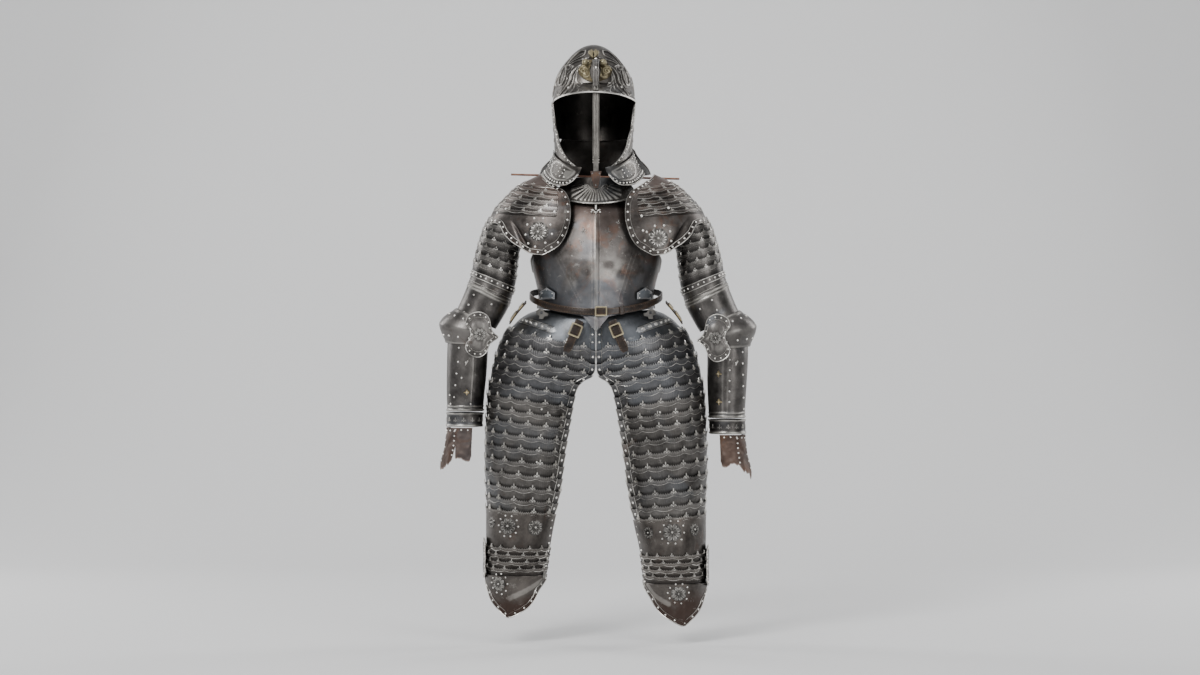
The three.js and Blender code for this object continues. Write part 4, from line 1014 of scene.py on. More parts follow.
orn_acc, stud_acc = Acc(), Acc()
for side, nm in ((-1, "right"), (1, "left")):
    mir = mirrored(side)
    hx = SKULL_X if side < 0 else -SKULL_X

    def cheek_f(u, v, mir=mir, hx=hx):
        s = cheek(lerp(175.0, 12.0, np.asarray(v, float)))
        a = -rad(lerp(s["front"], s["back"], np.asarray(u, float)))
        return ring(a, x=hx, z=s["z"], w=s["w"], f=s["f"], b=s["f"]) * mir
    ck = Surf(cheek_f, (0, 0, 90))
    acc = Acc()

    def cheek_disp(u, v, P):
        z = P[..., 2]
        lines = sum(1.0 * np.exp(-((z - q) / 1.6) ** 2) for q in (170, 153, 147, 131))
        return lines + 1.3 * np.exp(-(u / 0.03) ** 2) + 0.9 * np.exp(-((u - 0.16) / 0.025) ** 2) * (v > 0.2)
    plate(acc, ck, np.linspace(0, 1, 72), np.linspace(0, 1, 150), thick=1.8, disp=cheek_disp,
          wear=lambda u, v, P: np.clip(cheek_disp(u, v, P), 0, 0.8) - 0.1)
    emit(acc, f"cheek_plate_{nm}", M["helmet"], [f"cheek_{nm}"], smooth_angle=60)
    for z in (161.5, 139):
        v = (175 - z) / 163
        stud_row(stud_acc, ck, around(ck, v, 0.06, 0.94, 40), 8, 2.4, 0, raw=True)
    stud_row(stud_acc, ck, np.stack([np.full(60, 0.085), np.linspace(0.33, 0.97, 60)], -1), 11, 2.3, 0, raw=True)
    bead(orn_acc, ck, np.stack([np.full(80, 0.012), np.linspace(0.0, 1.0, 80)], -1), 2.6, 1.4, raw=True)
    bead(orn_acc, ck, np.stack([np.full(60, 0.985), np.linspace(0.0, 0.98, 60)], -1), 2.4, 1.2, raw=True)
    for (u, v, s) in ((0.45, 0.42, 12), (0.5, 0.58, 11), (0.5, 0.74, 9)):   # leaf sprigs
        P, N = ck.frame(np.array([u]), np.array([v]))
        fleur(orn_acc, P, N, [[0, 0, 1.0]], s, 1.3, 0.7)

    def collar_f(u, v, mir=mir, hx=hx):
        ang = lerp(17.0, 95.0, np.asarray(u, float))
        c = collar(ang)
        t = np.clip(np.asarray(v, float), 0, 1.05) ** 1.6
        return ring(-rad(ang), x=hx, z=lerp(c["top"], c["rim"], v), w=lerp(96.5, 122, t), f=lerp(121, 133, t), b=lerp(121, 133, t)) * mir
    cl = Surf(collar_f, (0, 0, 0))
    acc = Acc()

    def collar_disp(u, v, P):
        lun = ((u - 0.42) / 0.30) ** 2 + ((v - 0.42) / 0.34) ** 2
        return 0.9 * np.exp(-((np.sqrt(lun) - 1) / 0.08) ** 2) + 1.2 * np.exp(-((v - 0.985) / 0.03) ** 2)
    plate(acc, cl, np.linspace(0, 1, 90), np.linspace(0, 1, 44), thick=1.8, disp=collar_disp,
          wear=lambda u, v, P: np.where((np.abs(u - 0.24) < 0.09) & (np.abs(v - 0.45) < 0.18), 0.45, np.clip(collar_disp(u, v, P), 0, 0.9) - 0.1 - 0.7 * (v > 0.80) * (v < 0.96)))
    emit(acc, f"collar_plate_{nm}", M["helmet"], [f"collar_{nm}"], smooth_angle=60)
    stud_row(stud_acc, cl, around(cl, 0.88, 0.03, 0.97, 80), 17, 2.5, 0, raw=True)
    for v, a0, a1, n in ((0.12, 0.40, 0.9, 6), (0.28, 0.34, 0.94, 7), (0.44, 0.36, 0.96, 7), (0.60, 0.30, 0.94, 8)):
        stud_row(stud_acc, cl, around(cl, v, a0, a1, 60), n, 2.0, 0, raw=True)
    bead(orn_acc, cl, around(cl, 0.99, 0.0, 1.0, 90), 3.0, 1.5, raw=True)
    bead(orn_acc, cl, around(cl, 0.76, 0.02, 0.98, 90), 1.4, 0.8, raw=True)

# neck guard at the nape
nape = table(["z", "w", "b", "edge"], [[98, 95, 121, 124], [72, 96, 123, 112], [58, 99, 127, 103], [40, 110, 137, 100], [16, 131, 153, 99], [5, 135, 154.5, 99]])


def nape_f(u, v):
    z = lerp(98.0, 5.0, np.asarray(v, float)); s = nape(z)
    a = rad(lerp(s["edge"], 360 - s["edge"], np.asarray(u, float)))
    return ring(a, x=-2, z=z, w=s["w"], f=s["b"], b=s["b"])


ng = Surf(nape_f, (0, 0, 60))
acc = Acc()
plate(acc, ng, np.linspace(0, 1, 90), np.linspace(0, 1, 60), off=0.6, thick=2.0,
      disp=lambda u, v, P: 1.0 - ((v * 3.0) % 1.0) * 1.0 + 0.8 * np.exp(-((v - 0.98) / 0.02) ** 2))
emit(acc, "neck_guard_lames", M["helmet"], ["neck_guard"], smooth_angle=40)
for v in (0.27, 0.6, 0.93):
    stud_row(stud_acc, ng, around(ng, v, 0.04, 0.96, 90), 9, 2.4, 0.8, raw=True)
bead(orn_acc, ng, around(ng, 0.99, 0, 1, 100), 3.2, 1.4, 0.6, raw=True)

# gorget: fluted crescent, rolled lower rim
def gorget_f(u, v):
    a = rad(lerp(-62.0, 62.0, np.asarray(u, float)))
    rim = -72 + 26 * (a / rad(62)) ** 2
    return ring(a, z=lerp(-8.5, rim, v), w=lerp(82.0, 113.0, v), f=lerp(96.0, 132.0, v), b=96)


gg = Surf(gorget_f, (0, 0, -20))
acc = Acc()


def flutes(u, v, P):
    x, z = P[..., 0], P[..., 2]
    rr = np.sqrt(x**2 + (z + 22) ** 2)
    th = np.arctan2(x, -(z + 22))
    zone = smooth((rr - 13) / 4) * smooth((0.93 - v) / 0.04) * smooth((1.5 - np.abs(th)) / 0.06) * smooth((62 - np.abs(x)) / 6)
    k = th * 17 / np.pi
    return zone * (1.9 * np.abs(np.cos(np.pi * k)) ** 0.7 - 0.4) + 0.8 * np.exp(-((rr - 12) / 1.5) ** 2)


plate(acc, gg, np.linspace(0, 1, 240), np.linspace(0, 1, 40), thick=1.9, disp=flutes, wear=lambda u, v, P: np.clip(flutes(u, v, P) * 0.6 - 0.35, -0.8, 0.6))
emit(acc, "gorget_fluted", M["helmet"], ["gorget_front"], smooth_angle=60)
bead(orn_acc, gg, around(gg, 0.985, 0, 1, 120), 4.2, 2.2, raw=True)
for x, z in ((-25, -12), (25, -12)):
    a = math.asin(x / 90) / rad(124) + 0.5
    P, N = gg.frame(np.array([a]), np.array([0.3]))
    fleur(orn_acc, P + N * 1.4, N, [[0, 0, -1.0]], 13, 1.6, 0.9)


def gback_f(u, v):
    a = rad(lerp(112.0, 248.0, np.asarray(u, float)))
    return ring(a, z=lerp(-12.0, -52.0, v), w=lerp(82.0, 106.0, v), f=96, b=lerp(88.0, 112.0, v))


gb = Surf(gback_f, (0, 0, -20))
acc = Acc()
plate(acc, gb, np.linspace(0, 1, 80), np.linspace(0, 1, 24), thick=1.9, disp=lambda u, v, P: 1.0 * np.exp(-((v - 0.85) / 0.03) ** 2))
emit(acc, "gorget_back_plate", M["helmet"], ["gorget_back"])
bead(orn_acc, gb, around(gb, 0.985, 0, 1, 100), 3.6, 1.8, raw=True)
emit(orn_acc, "helmet_lines", M["line"])
emit(stud_acc, "helmet_studs", M["rivet"])

# bracket: stays the CAD solid, with a rivet
acc = Acc()
dome(acc, [[0, -153, -30], [-8.5, -153, -2.5], [8.5, -153, -2.5]], [[0, -1, 0]] * 3, [2.8, 2.0, 2.0], wear=0.2)
emit(acc, "bracket_rivets", M["steel"])

# ================================================================== fretted lames
def arc(surf, u0, u1, vfun, n=600):
    u = np.linspace(u0, u1, n)
    P = surf.f(u, vfun(u))
    return u, np.concatenate([[0], np.cumsum(np.linalg.norm(np.diff(P, axis=0), axis=1))])


def crest(s, period, phase, sag, tooth, pitch, room=5.0):
    """height of a fretted edge over its base line: swags between fleurs, with small teeth"""
    q = np.abs(((s - phase) / period + 0.5) % 1 - 0.5) * period
    swag = -sag * (1 - (1 - 2 * q / period) ** 2)
    k = (q - room) / pitch
    t = tooth * np.clip(1.2 - np.abs((k % 1) - 0.5) * 2.7, 0, 1)
    return swag, np.where(q < room, 1.6 * np.clip(1 - q / room, 0, 1), t)


def lame(pl, orn, surf, vtop, vbot, up, off_top, off_bot, u0=0.0, u1=1.0, period=41.0, phase=12.0, sag=6.5, tooth=4.0, pitch=5.0,
         fleur_size=14.0, step=1.3, thick=1.5, rows=(0, 0.05, 0.16, 0.4, 0.72, 1.0), swag_at=6.5, lines=2, dvmm=None, line_u=None, fl_h=1.5, skip=(), line_sag=1.2, line_w=1.4, edge=1.0, swag_line=None, plain=None, tone=None, vis=None):
    """One lame on a surface. vtop, vbot are functions of u; up is the sign of v that points up; dvmm(u) is mm for each unit of v."""
    u, s = arc(surf, u0, u1, vtop)
    n = max(12, int(s[-1] / step))
    us = np.interp(np.linspace(0, s[-1], n), s, u)
    ss = np.linspace(0, s[-1], n)
    scale = dvmm(us) if dvmm else 1.0
    swag, teeth = crest(ss, period, phase, sag, tooth, pitch)
    if plain is not None:                              # no teeth beside the border
        teeth = teeth * smooth((ss - plain) / 1.5)
    q = np.abs(((ss - phase) / period + 0.5) % 1 - 0.5) * period
    under = (swag_line[0] + swag_line[1] * (1 - (1 - 2 * q / period) ** 2)) if swag_line else None
    v0 = vtop(us) + up * (swag + teeth) / scale
    v1 = vbot(us)
    r = np.asarray(rows, float)[:, None]
    U = np.broadcast_to(us, (len(rows), n))
    Vv = lerp(v0[None], v1[None], r)
    P, N = surf.frame(U, Vv)
    off = lerp(off_top, off_bot, r)
    O = P + N * off[..., None] if off.ndim == 2 else P
    I = P + N * (off - thick)[..., None]
    # top rows lighter; the lowest rows, lying under the next lame's edge, painted dark as shade
    w = np.zeros(U.shape); w[0] = edge; w[1] = 0.45 * edge; w[-1] = -1.0; w[-2] = -0.3
    if tone is not None and under is not None:         # light above the swag line, darker below it
        depth = -(swag + teeth)[None] + r * (np.abs(v1 - v0) * scale)[None]
        w = np.where(np.arange(len(rows))[:, None] > 1, np.where(depth < under[None], tone[0], tone[1]), w)
        if vis is not None:                            # painted shade where the next lame's edge lies on this one
            w = w - 0.85 * smooth((depth - np.asarray(vis(us))[None] + 9.0) / 4.0)
        w[-1] = -1.0
    wall(pl, O, I, w, every=max(1, len(rows) // 2))
    m = (us >= (line_u[0] if line_u else u0)) & (us <= (line_u[1] if line_u else u1))
    for k in range(lines):
        d = swag_at + k * 3.2
        drop = (under - k * 2.6) if under is not None else (d - swag * line_sag)
        vv = (vtop(us) - up * drop / scale)[m]
        Q, Nq = surf.frame(us[m], vv)
        o = lerp(off_top, off_bot, np.clip(drop[m] / 28, 0, 1))
        strip(orn, (Q + Nq * o[:, None])[::3], Nq[::3], line_w if k == 0 else 0.9, 0.9 if k == 0 else 0.45, wear=0.9 if k == 0 else 0.1)
    # fleurs where the swags meet
    c = np.arange(phase % period, s[-1], period)
    c = c[(c > 4) & (c < s[-1] - 4)]
    if len(c) and fleur_size:
        uc = np.interp(c, s, u)
        keep = np.array([not any(a <= x <= b for a, b in skip) for x in uc])
        uc = uc[keep]
        if len(uc):
            Pc, Nc = surf.frame(uc, vtop(uc))
            e = 0.5 / (dvmm(uc) if dvmm else np.ones(len(uc)))
            upv = (surf.f(uc, vtop(uc) + up * e) - surf.f(uc, vtop(uc) - up * e))
            upv = unit(upv)
            fleur(orn, Pc + Nc * (off_top - 0.3) - upv * 1.5, Nc, upv, fleur_size, fl_h, 1.0)
    return us


# ================================================================== body
breast = table(["z", "w", "f", "wrap"], [
    [-58, 92, 106, 46], [-80, 116, 119, 50], [-105, 136, 129, 53], [-140, 152, 139, 58], [-170, 158, 145, 64],
    [-192, 158, 148, 72], [-207, 156, 150, 84], [-230, 151, 151, 88], [-262, 143, 152, 88], [-292, 137, 151, 88],
    [-318, 140, 152, 88], [-345, 146, 154, 88], [-380, 154, 156, 88]])


def breast_point(z, a, off=0.0):
    s = breast(z)
    p = ring(a, z=s["z"], w=s["w"], f=s["f"], b=150, off=off)
    p[..., 1] -= 6 * np.exp(-((a / rad(9)) ** 2)) * smooth((-s["z"] - 58) / 60)
    return p


def breast_f(u, v):
    k = 2 * np.asarray(u, float) - 1
    g = np.sign(k) * np.abs(k) ** 1.25
    z0 = lerp(-58.0, -320.0, np.asarray(v, float))
    a = rad(breast(z0)["wrap"]) * g
    x = breast(-340)["w"] * np.sin(a)
    x = np.abs(x)
    end = np.where(x < 30, lerp(-374, -338, x / 30), lerp(-338, -318, np.clip((x - 30) / 110, 0, 1)))
    z = lerp(-58 - np.where(np.abs(k) < 0.4, 6 * (1 - (k / 0.4) ** 2), 0), end, v)
    return breast_point(z, a)


bs = Surf(breast_f, (0, 0, -200))
lines3 = []
for x0, x1 in ((-9, -9), (9, 9)):
    z = np.linspace(-92, -330, 90)
    lines3.append((breast_point(z, np.arcsin(x0 / breast(z)["w"])), 1.1, 0.5))
for pts in ([(-98, -192), (-70, -246), (-42, -302)], [(-88, -192), (-61, -246), (-35, -302)], [(86, -190), (68, -246), (52, -300)], [(95, -190), (77, -246), (61, -300)]):
    q = crv(pts, 60)
    lines3.append((breast_point(q[:, 1], np.arcsin(q[:, 0] / breast(q[:, 1])["w"])), 1.0, 0.35))


def breast_disp(u, v, P):
    x = np.abs(P[..., 0]); z = -P[..., 2]
    keel = 0.7 * np.exp(-(x / 3.2) ** 2) * smooth((z - 85) / 20)
    roll = 2.2 * np.exp(-((1 - np.abs(2 * u - 1)) / 0.018) ** 2) * (z < 232)
    neck = 1.6 * np.exp(-(v / 0.02) ** 2)
    return relief(P, lines3) + keel + roll + neck


acc = Acc()
plate(acc, bs, np.linspace(0, 1, 190), np.linspace(0, 1, 132), thick=1.9, disp=breast_disp, fine=1.0,
      wear=lambda u, v, P: np.clip(breast_disp(u, v, P) / 2.2, 0, 0.8) + 0.42 * smooth((0.35 + noise2(P[..., 0] / 31.0, P[..., 2] / 24.0, 3)) * 1.3) * np.exp(-(((np.abs(P[..., 0]) - 34) / 30) ** 2 + ((P[..., 2] + 235) / 42) ** 2)))
emit(acc, "breastplate_keeled", M["breast"], ["breastplate"], smooth_angle=60)

torso_orn, torso_stud = Acc(), Acc()
P = breast_point(np.array([-97.0]), np.array([0.0]), 0.6)
fleur(torso_orn, P, [[0, -0.97, 0.22]], [[0, 0, 1.0]], 27, 2.8, 1.8)
for side in (1, -1):                                  # engraved sprays beside the ridge
    for (x, z, s, t) in ((26, -142, 15, 0.3), (30, -168, 13, 0.8), (52, -120, 12, 0.2)):
        a = math.asin(side * x / float(breast(z)["w"]))
        P = breast_point(np.array([float(z)]), np.array([a]), -0.1)
        fleur(torso_orn, P, [[math.sin(a), -math.cos(a), 0.1]], [[side * math.sin(t), 0, math.cos(t)]], s, 0.5, 0.0)

back = table(["z", "w", "b", "edge"], [
    [-48, 96, 100, 138], [-75, 122, 112, 130], [-110, 142, 120, 124], [-150, 154, 122, 117], [-185, 157, 119, 108],
    [-207, 154, 116, 96], [-240, 147, 109, 92], [-285, 137, 103, 92], [-318, 141, 106, 92]])


def back_f(u, v):
    z = lerp(-48.0, -318.0, np.asarray(v, float)); s = back(z)
    a = rad(lerp(s["edge"], 360 - s["edge"], np.asarray(u, float)))
    return ring(a, z=z, w=s["w"], f=s["b"], b=s["b"])


bk = Surf(back_f, (0, 0, -200))
acc = Acc()
plate(acc, bk, np.linspace(0, 1, 130), np.linspace(0, 1, 90), thick=1.9,
      disp=lambda u, v, P: 1.2 * np.exp(-((u - 0.5) / 0.006) ** 2) + 1.6 * np.exp(-(v / 0.02) ** 2) + 1.4 * np.exp(-((0.5 - np.abs(u - 0.5)) / 0.01) ** 2))
emit(acc, "backplate_shell", M["steel"], ["backplate"], smooth_angle=60)
for v, n in ((0.04, 13), (0.965, 17)):
    stud_row(torso_stud, bk, around(bk, v, 0.04, 0.96, 90), n, 2.5, 0, raw=True)
    bead(torso_orn, bk, around(bk, v + (0.035 if v < 0.5 else -0.03), 0.02, 0.98, 100), 1.6, 0.8, raw=True)

# five-sided plates at the waist
for side, nm in ((-1, "right"), (1, "left")):
    mir = mirrored(side)

    def waist_f(u, v, mir=mir):
        x = lerp(-129.0, -94.0, np.asarray(u, float))
        top = -269 - 12 * np.abs(u - 0.45) * 2
        z = lerp(top, -297.0, v)
        return breast_point(z, np.arcsin(x / breast(z)["w"]), 5.5) * mir
    wp = Surf(waist_f, (0, 0, -280))
    acc = Acc()
    edge = lambda u, v: np.minimum(np.minimum(u, 1 - u) * 35, np.minimum(v, 1 - v) * 24)
    plate(acc, wp, np.linspace(0, 1, 40), np.linspace(0, 1, 30), thick=2.0,
          disp=lambda u, v, P: 0.9 * np.exp(-((edge(u, v) - 2.2) / 0.8) ** 2), wear=lambda u, v, P: np.where(edge(u, v) < 3.2, 0.9, 0.1))
    emit(acc, f"waist_plate_{nm}_chased", M["plate_light"], [f"waist_plate_{nm}"])
    add_studs(torso_stud, wp, np.array([0.15, 0.45, 0.85, 0.15, 0.85]), np.array([0.28, 0.2, 0.28, 0.82, 0.82]), 1.8, 0)

# belt
def belt_f(u, v):
    a = 2 * np.pi * np.asarray(u, float)
    z = -274 - 53 * ((1 + np.cos(a)) / 2) ** 2 + lerp(7.5, -7.5, np.asarray(v, float))
    return ring(a, z=z, w=160, f=166, b=116)


bt = Surf(belt_f, (0, 0, -290))
acc = Acc()
bump_ = lambda u, v, P: -0.5 * np.exp(-((np.minimum(v, 1 - v) - 0.0) / 0.07) ** 2) + 0.25 * noise2(u * 160, v * 3, 5) - 0.45 * np.exp(-((np.minimum(v, 1 - v) - 0.2) / 0.05) ** 2)
plate(acc, bt, np.linspace(0, 1, 301)[:-1], np.linspace(0, 1, 15), thick=3.0, disp=bump_, closed=True, wear=lambda u, v, P: np.where(np.minimum(v, 1 - v) < 0.08, 0.9, 0.0))
emit(acc, "belt_leather", M["leather"], ["belt"])
thread = Acc()
for v in (0.2, 0.8):
    u = (np.arange(150) + 0.5) / 150
    P, N = bt.frame(u, np.full(150, v)); Q = bt.f(u + 0.001, np.full(150, v))
    blob(thread, P - N * 0.35, N, Q - P, lens(0.7, 3.4, 0, -1.7, n=6), 0.5, 0.3, sink=0.3)
# the tail of the belt, past the buckle
def tail_f(u, v):
    x = lerp(0.0, 78.0, np.asarray(u, float)); a = np.arcsin(x / 160)
    z = -274 - 53 * ((1 + np.cos(a)) / 2) ** 2 + lerp(6.5, -6.5, np.asarray(v, float)) * np.where(u > 0.9, 1 - 0.6 * ((u - 0.9) / 0.1) ** 2, 1)
    return ring(a, z=z, w=160, f=166, b=116)


tl = Surf(tail_f, (0, 0, -290))
acc = Acc()
plate(acc, tl, np.linspace(0, 1, 60), np.linspace(0, 1, 9), off=2.9, thick=2.4, wear=lambda u, v, P: np.where(np.minimum(v, 1 - v) < 0.1, 0.9, 0.0))
emit(acc, "belt_tail", M["leather"])


def tube(acc, path, r, seg=8, wear=0.6, closed=False):
    """round wire along a path, mm"""
    P = np.asarray(path, float)
    T = unit(np.roll(P, -1, 0) - np.roll(P, 1, 0)) if closed else tangent(P)
    ref = np.array([0, 0, 1.0]) if abs(T[:, 2]).mean() < 0.8 else np.array([1.0, 0, 0])
    A = unit(np.cross(T, np.broadcast_to(ref, T.shape))); B = np.cross(T, A)
    r = np.broadcast_to(np.asarray(r, float), (len(P),))
    ang = np.arange(seg) * 2 * np.pi / seg
    V = (P[:, None] + (A[:, None] * np.cos(ang)[None, :, None] + B[:, None] * np.sin(ang)[None, :, None]) * r[:, None, None]).reshape(-1, 3)
    n = len(P)
    i = np.arange(n if closed else n - 1)[:, None]; k = np.arange(seg)[None, :]
    k2 = (k + 1) % seg; i2 = (i + 1) % n
    F = np.stack([np.broadcast_to(i * seg + k, (i.size, seg)), np.broadcast_to(i * seg + k2, (i.size, seg)),
                  np.broadcast_to(i2 * seg + k2, (i.size, seg)), np.broadcast_to(i2 * seg + k, (i.size, seg))], -1).reshape(-1, 4)
    v = V[F[0]]
    nrm = np.cross(v[1] - v[0], v[2] - v[0])
    flip = np.dot(nrm, v.mean(0) - P[:2].mean(0)) < 0
    if flip:
        F = F[:, ::-1]
    acc.add(V, F, wear)
    base = acc.n - len(V)
    if not closed:
        for c, e in ((0, -1), ((n - 1) * seg, 1)):
            idx = np.arange(seg) + c
            tri = np.stack([np.full(seg - 2, idx[0]), idx[1:-1], idx[2:]], -1)
            nn = np.cross(V[tri[0, 1]] - V[tri[0, 0]], V[tri[0, 2]] - V[tri[0, 0]])
            if np.dot(nn, T[0 if e < 0 else -1] * e) < 0:
                tri = tri[:, ::-1]
            acc.f.append(tri + base)


def frame_loop(acc, place, w, h, t, depth, wear=0.6, n=6):
    """buckle frame: square loop of a square bar with softened corners; place(x, z, out) gives a point"""
    c = 3.0
    loops = []
    for (ww, hh, o) in ((w / 2, h / 2, 0), (w / 2, h / 2, depth * 0.6), (w / 2 - t * 0.3, h / 2 - t * 0.3, depth), (w / 2 - t * 0.75, h / 2 - t * 0.75, depth), (w / 2 - t, h / 2 - t, depth * 0.6), (w / 2 - t, h / 2 - t, 0)):
        pts = []
        r = min(c, ww * 0.4) * (0.6 if ww < w / 2 - t * 0.5 else 1)
        for (sx, sz, a0) in ((1, 1, 0), (-1, 1, 90), (-1, -1, 180), (1, -1, 270)):
            for a in np.linspace(a0, a0 + 90, n):
                pts.append((sx * (ww - r) + r * math.cos(math.radians(a)), sz * (hh - r) + r * math.sin(math.radians(a)), o))
        loops.append(pts)
    L = np.array(loops)                     # (6, m, 3)
    m = L.shape[1]
    V = np.array([[place(*p) for p in l] for l in L]).reshape(-1, 3)
    F = []
    for i in range(6):
        j = (i + 1) % 6
        for k in range(m):
            k2 = (k + 1) % m
            F.append([i * m + k, i * m + k2, j * m + k2, j * m + k])
    F = np.array(F)
    v = V[F]
    vol = sum(np.einsum("ij,ij->", v[:, 0] - V.mean(0), np.cross(v[:, a] - V.mean(0), v[:, a + 1] - V.mean(0))) for a in (1, 2))
    acc.add(V, F if vol > 0 else F[:, ::-1], wear)


acc = Acc()
frame_loop(acc, lambda x, z, o: (12 + x, -166.8 - o, -326 + z), 29, 23, 3.9, 4.0, wear=0.9)
emit(acc, "belt_buckle_brass", M["brass"], ["belt_buckle"], smooth_angle=35)
acc = Acc()


def keeper_place(x, z, o):
    X = 62 + x
    y0 = -166 * math.sqrt(1 - (X / 160) ** 2) - 1.5
    zc = -274 - 53 * ((1 + math.sqrt(1 - (X / 160) ** 2)) / 2) ** 2
    return (X, y0 - o, zc + z)


frame_loop(acc, keeper_place, 10, 21, 1.6, 7.0, 0.3)
for x in (0,):
    g = np.array([[keeper_place(x_, z_, 6.6) for x_ in np.linspace(-4.6, 4.6, 5)] for z_ in np.linspace(10.2, -10.2, 7)])
    wall(acc, g, g + np.array([0, 1.6, 0]))
emit(acc, "belt_keeper_leather", M["leather"], ["belt_keeper"])

# rod through the neck
acc = Acc()
t = np.linspace(-203, 203, 40)
c15, s15 = math.cos(math.radians(1.5)), math.sin(math.radians(1.5))
tube(acc, np.stack([-2 + 0 * t + t * c15, 30 + 0 * t, -t * s15], -1), 2.5, 20, 0.0)
emit(acc, "support_rod_round", M["rod"], ["support_rod"], smooth_angle=40)

# ================================================================== arms
def front(px, py):
    """a place in the front view, on its 2.4 mm grid"""
    return (px - 600) * 2.4 + 9.6, -387.6 - (py - 337.5) * 2.4


arm_rows = table(["k", "x", "z", "slope", "w", "d"], [
    [-0.8, -212, -106, 12, 42, 54],     [0, -221, -131, 14, 46, 56], [1, -231, -165, 17, 48, 57], [2, -239, -205, 19, 51, 58], [3, -246, -246, 22, 54, 60],
    [4, -256, -281, 26, 56, 60], [5, -273, -318, 26, 54, 58], [6, -288, -346, 24, 52, 57]])
fore_rows = table(["z", "x", "slope", "w", "d"], [
    [-384, -305, 8, 50, 55], [-420, -308, 3, 49, 54], [-470, -310, 0, 48, 52], [-530, -313, 0, 45, 48], [-566, -314, 0, 43, 45], [-604, -316, 0, 42, 43]])
cap = table(["s", "ix", "iy", "iz", "ox", "oz"], [
    [0, -112, -40, -14, -130, 5], [1, -94, -78, -28, -164, -11], [2, -70, -112, -46, -190, -26], [3, -61, -126, -68, -216, -50],
    [4, -59, -134, -92, -240, -76], [5, -60, -138, -110, -253, -97], [6, -65, -140, -131, -261, -118],
    [7, -72, -140, -150, -266, -149], [8, -87, -138, -172, -270, -172], [9, -125, -130, -194, -272, -195]])
cap_end = table(["p", "front", "rear"], [[0, 9, 8.2], [0.07, 8.85, 8], [0.19, 7.9, 7], [0.265, 6.9, 6.3], [0.32, 5.95, 5.8], [0.36, 5.8, 5.75], [0.5, 5.8, 5.75]])
cup = table(["z", "x", "slope", "w", "d"], [[-338, -287, 24, 52, 58], [-344, -290, 22, 57, 62], [-352, -295, 18, 66, 67], [-361, -300, 15, 72, 69.5], [-369, -303, 12, 74, 70], [-378, -304, 10, 71.5, 69], [-388, -305, 8, 65, 66], [-397, -306, 6, 58, 62], [-405, -307, 5, 53, 58]])
hand = table(["z", "x", "w", "d"], [[-604, -316, 42, 43], [-640, -318, 43, 42], [-690, -322, 51, 40], [-720, -323, 53, 38]])
torn = table(["angle", "end"], [[-125, -672], [-95, -695], [-75, -713], [-50, -700], [-28, -684], [-5, -678], [18, -684], [30, -676]])


def arm_place(p, side):
    if side < 0:
        return p
    z = p[..., 2]
    q = p.copy()
    q[..., 0] = -p[..., 0] + 9 * (1 - smooth((-z - 380) / 180))
    q[..., 2] = z - 18 * smooth((-z - 120) / 560)
    return q


def arm_ring(s, a, off=0.0):
    c = np.cos(rad(s["slope"])) if "slope" in s else 1.0
    tilt = -np.tan(rad(s["slope"])) if "slope" in s else 0.0
    return ring(a, x=s["x"], y=-4, z=s["z"], w=s["w"] * c, f=s["d"], b=s["d"], tilt=tilt, off=off)


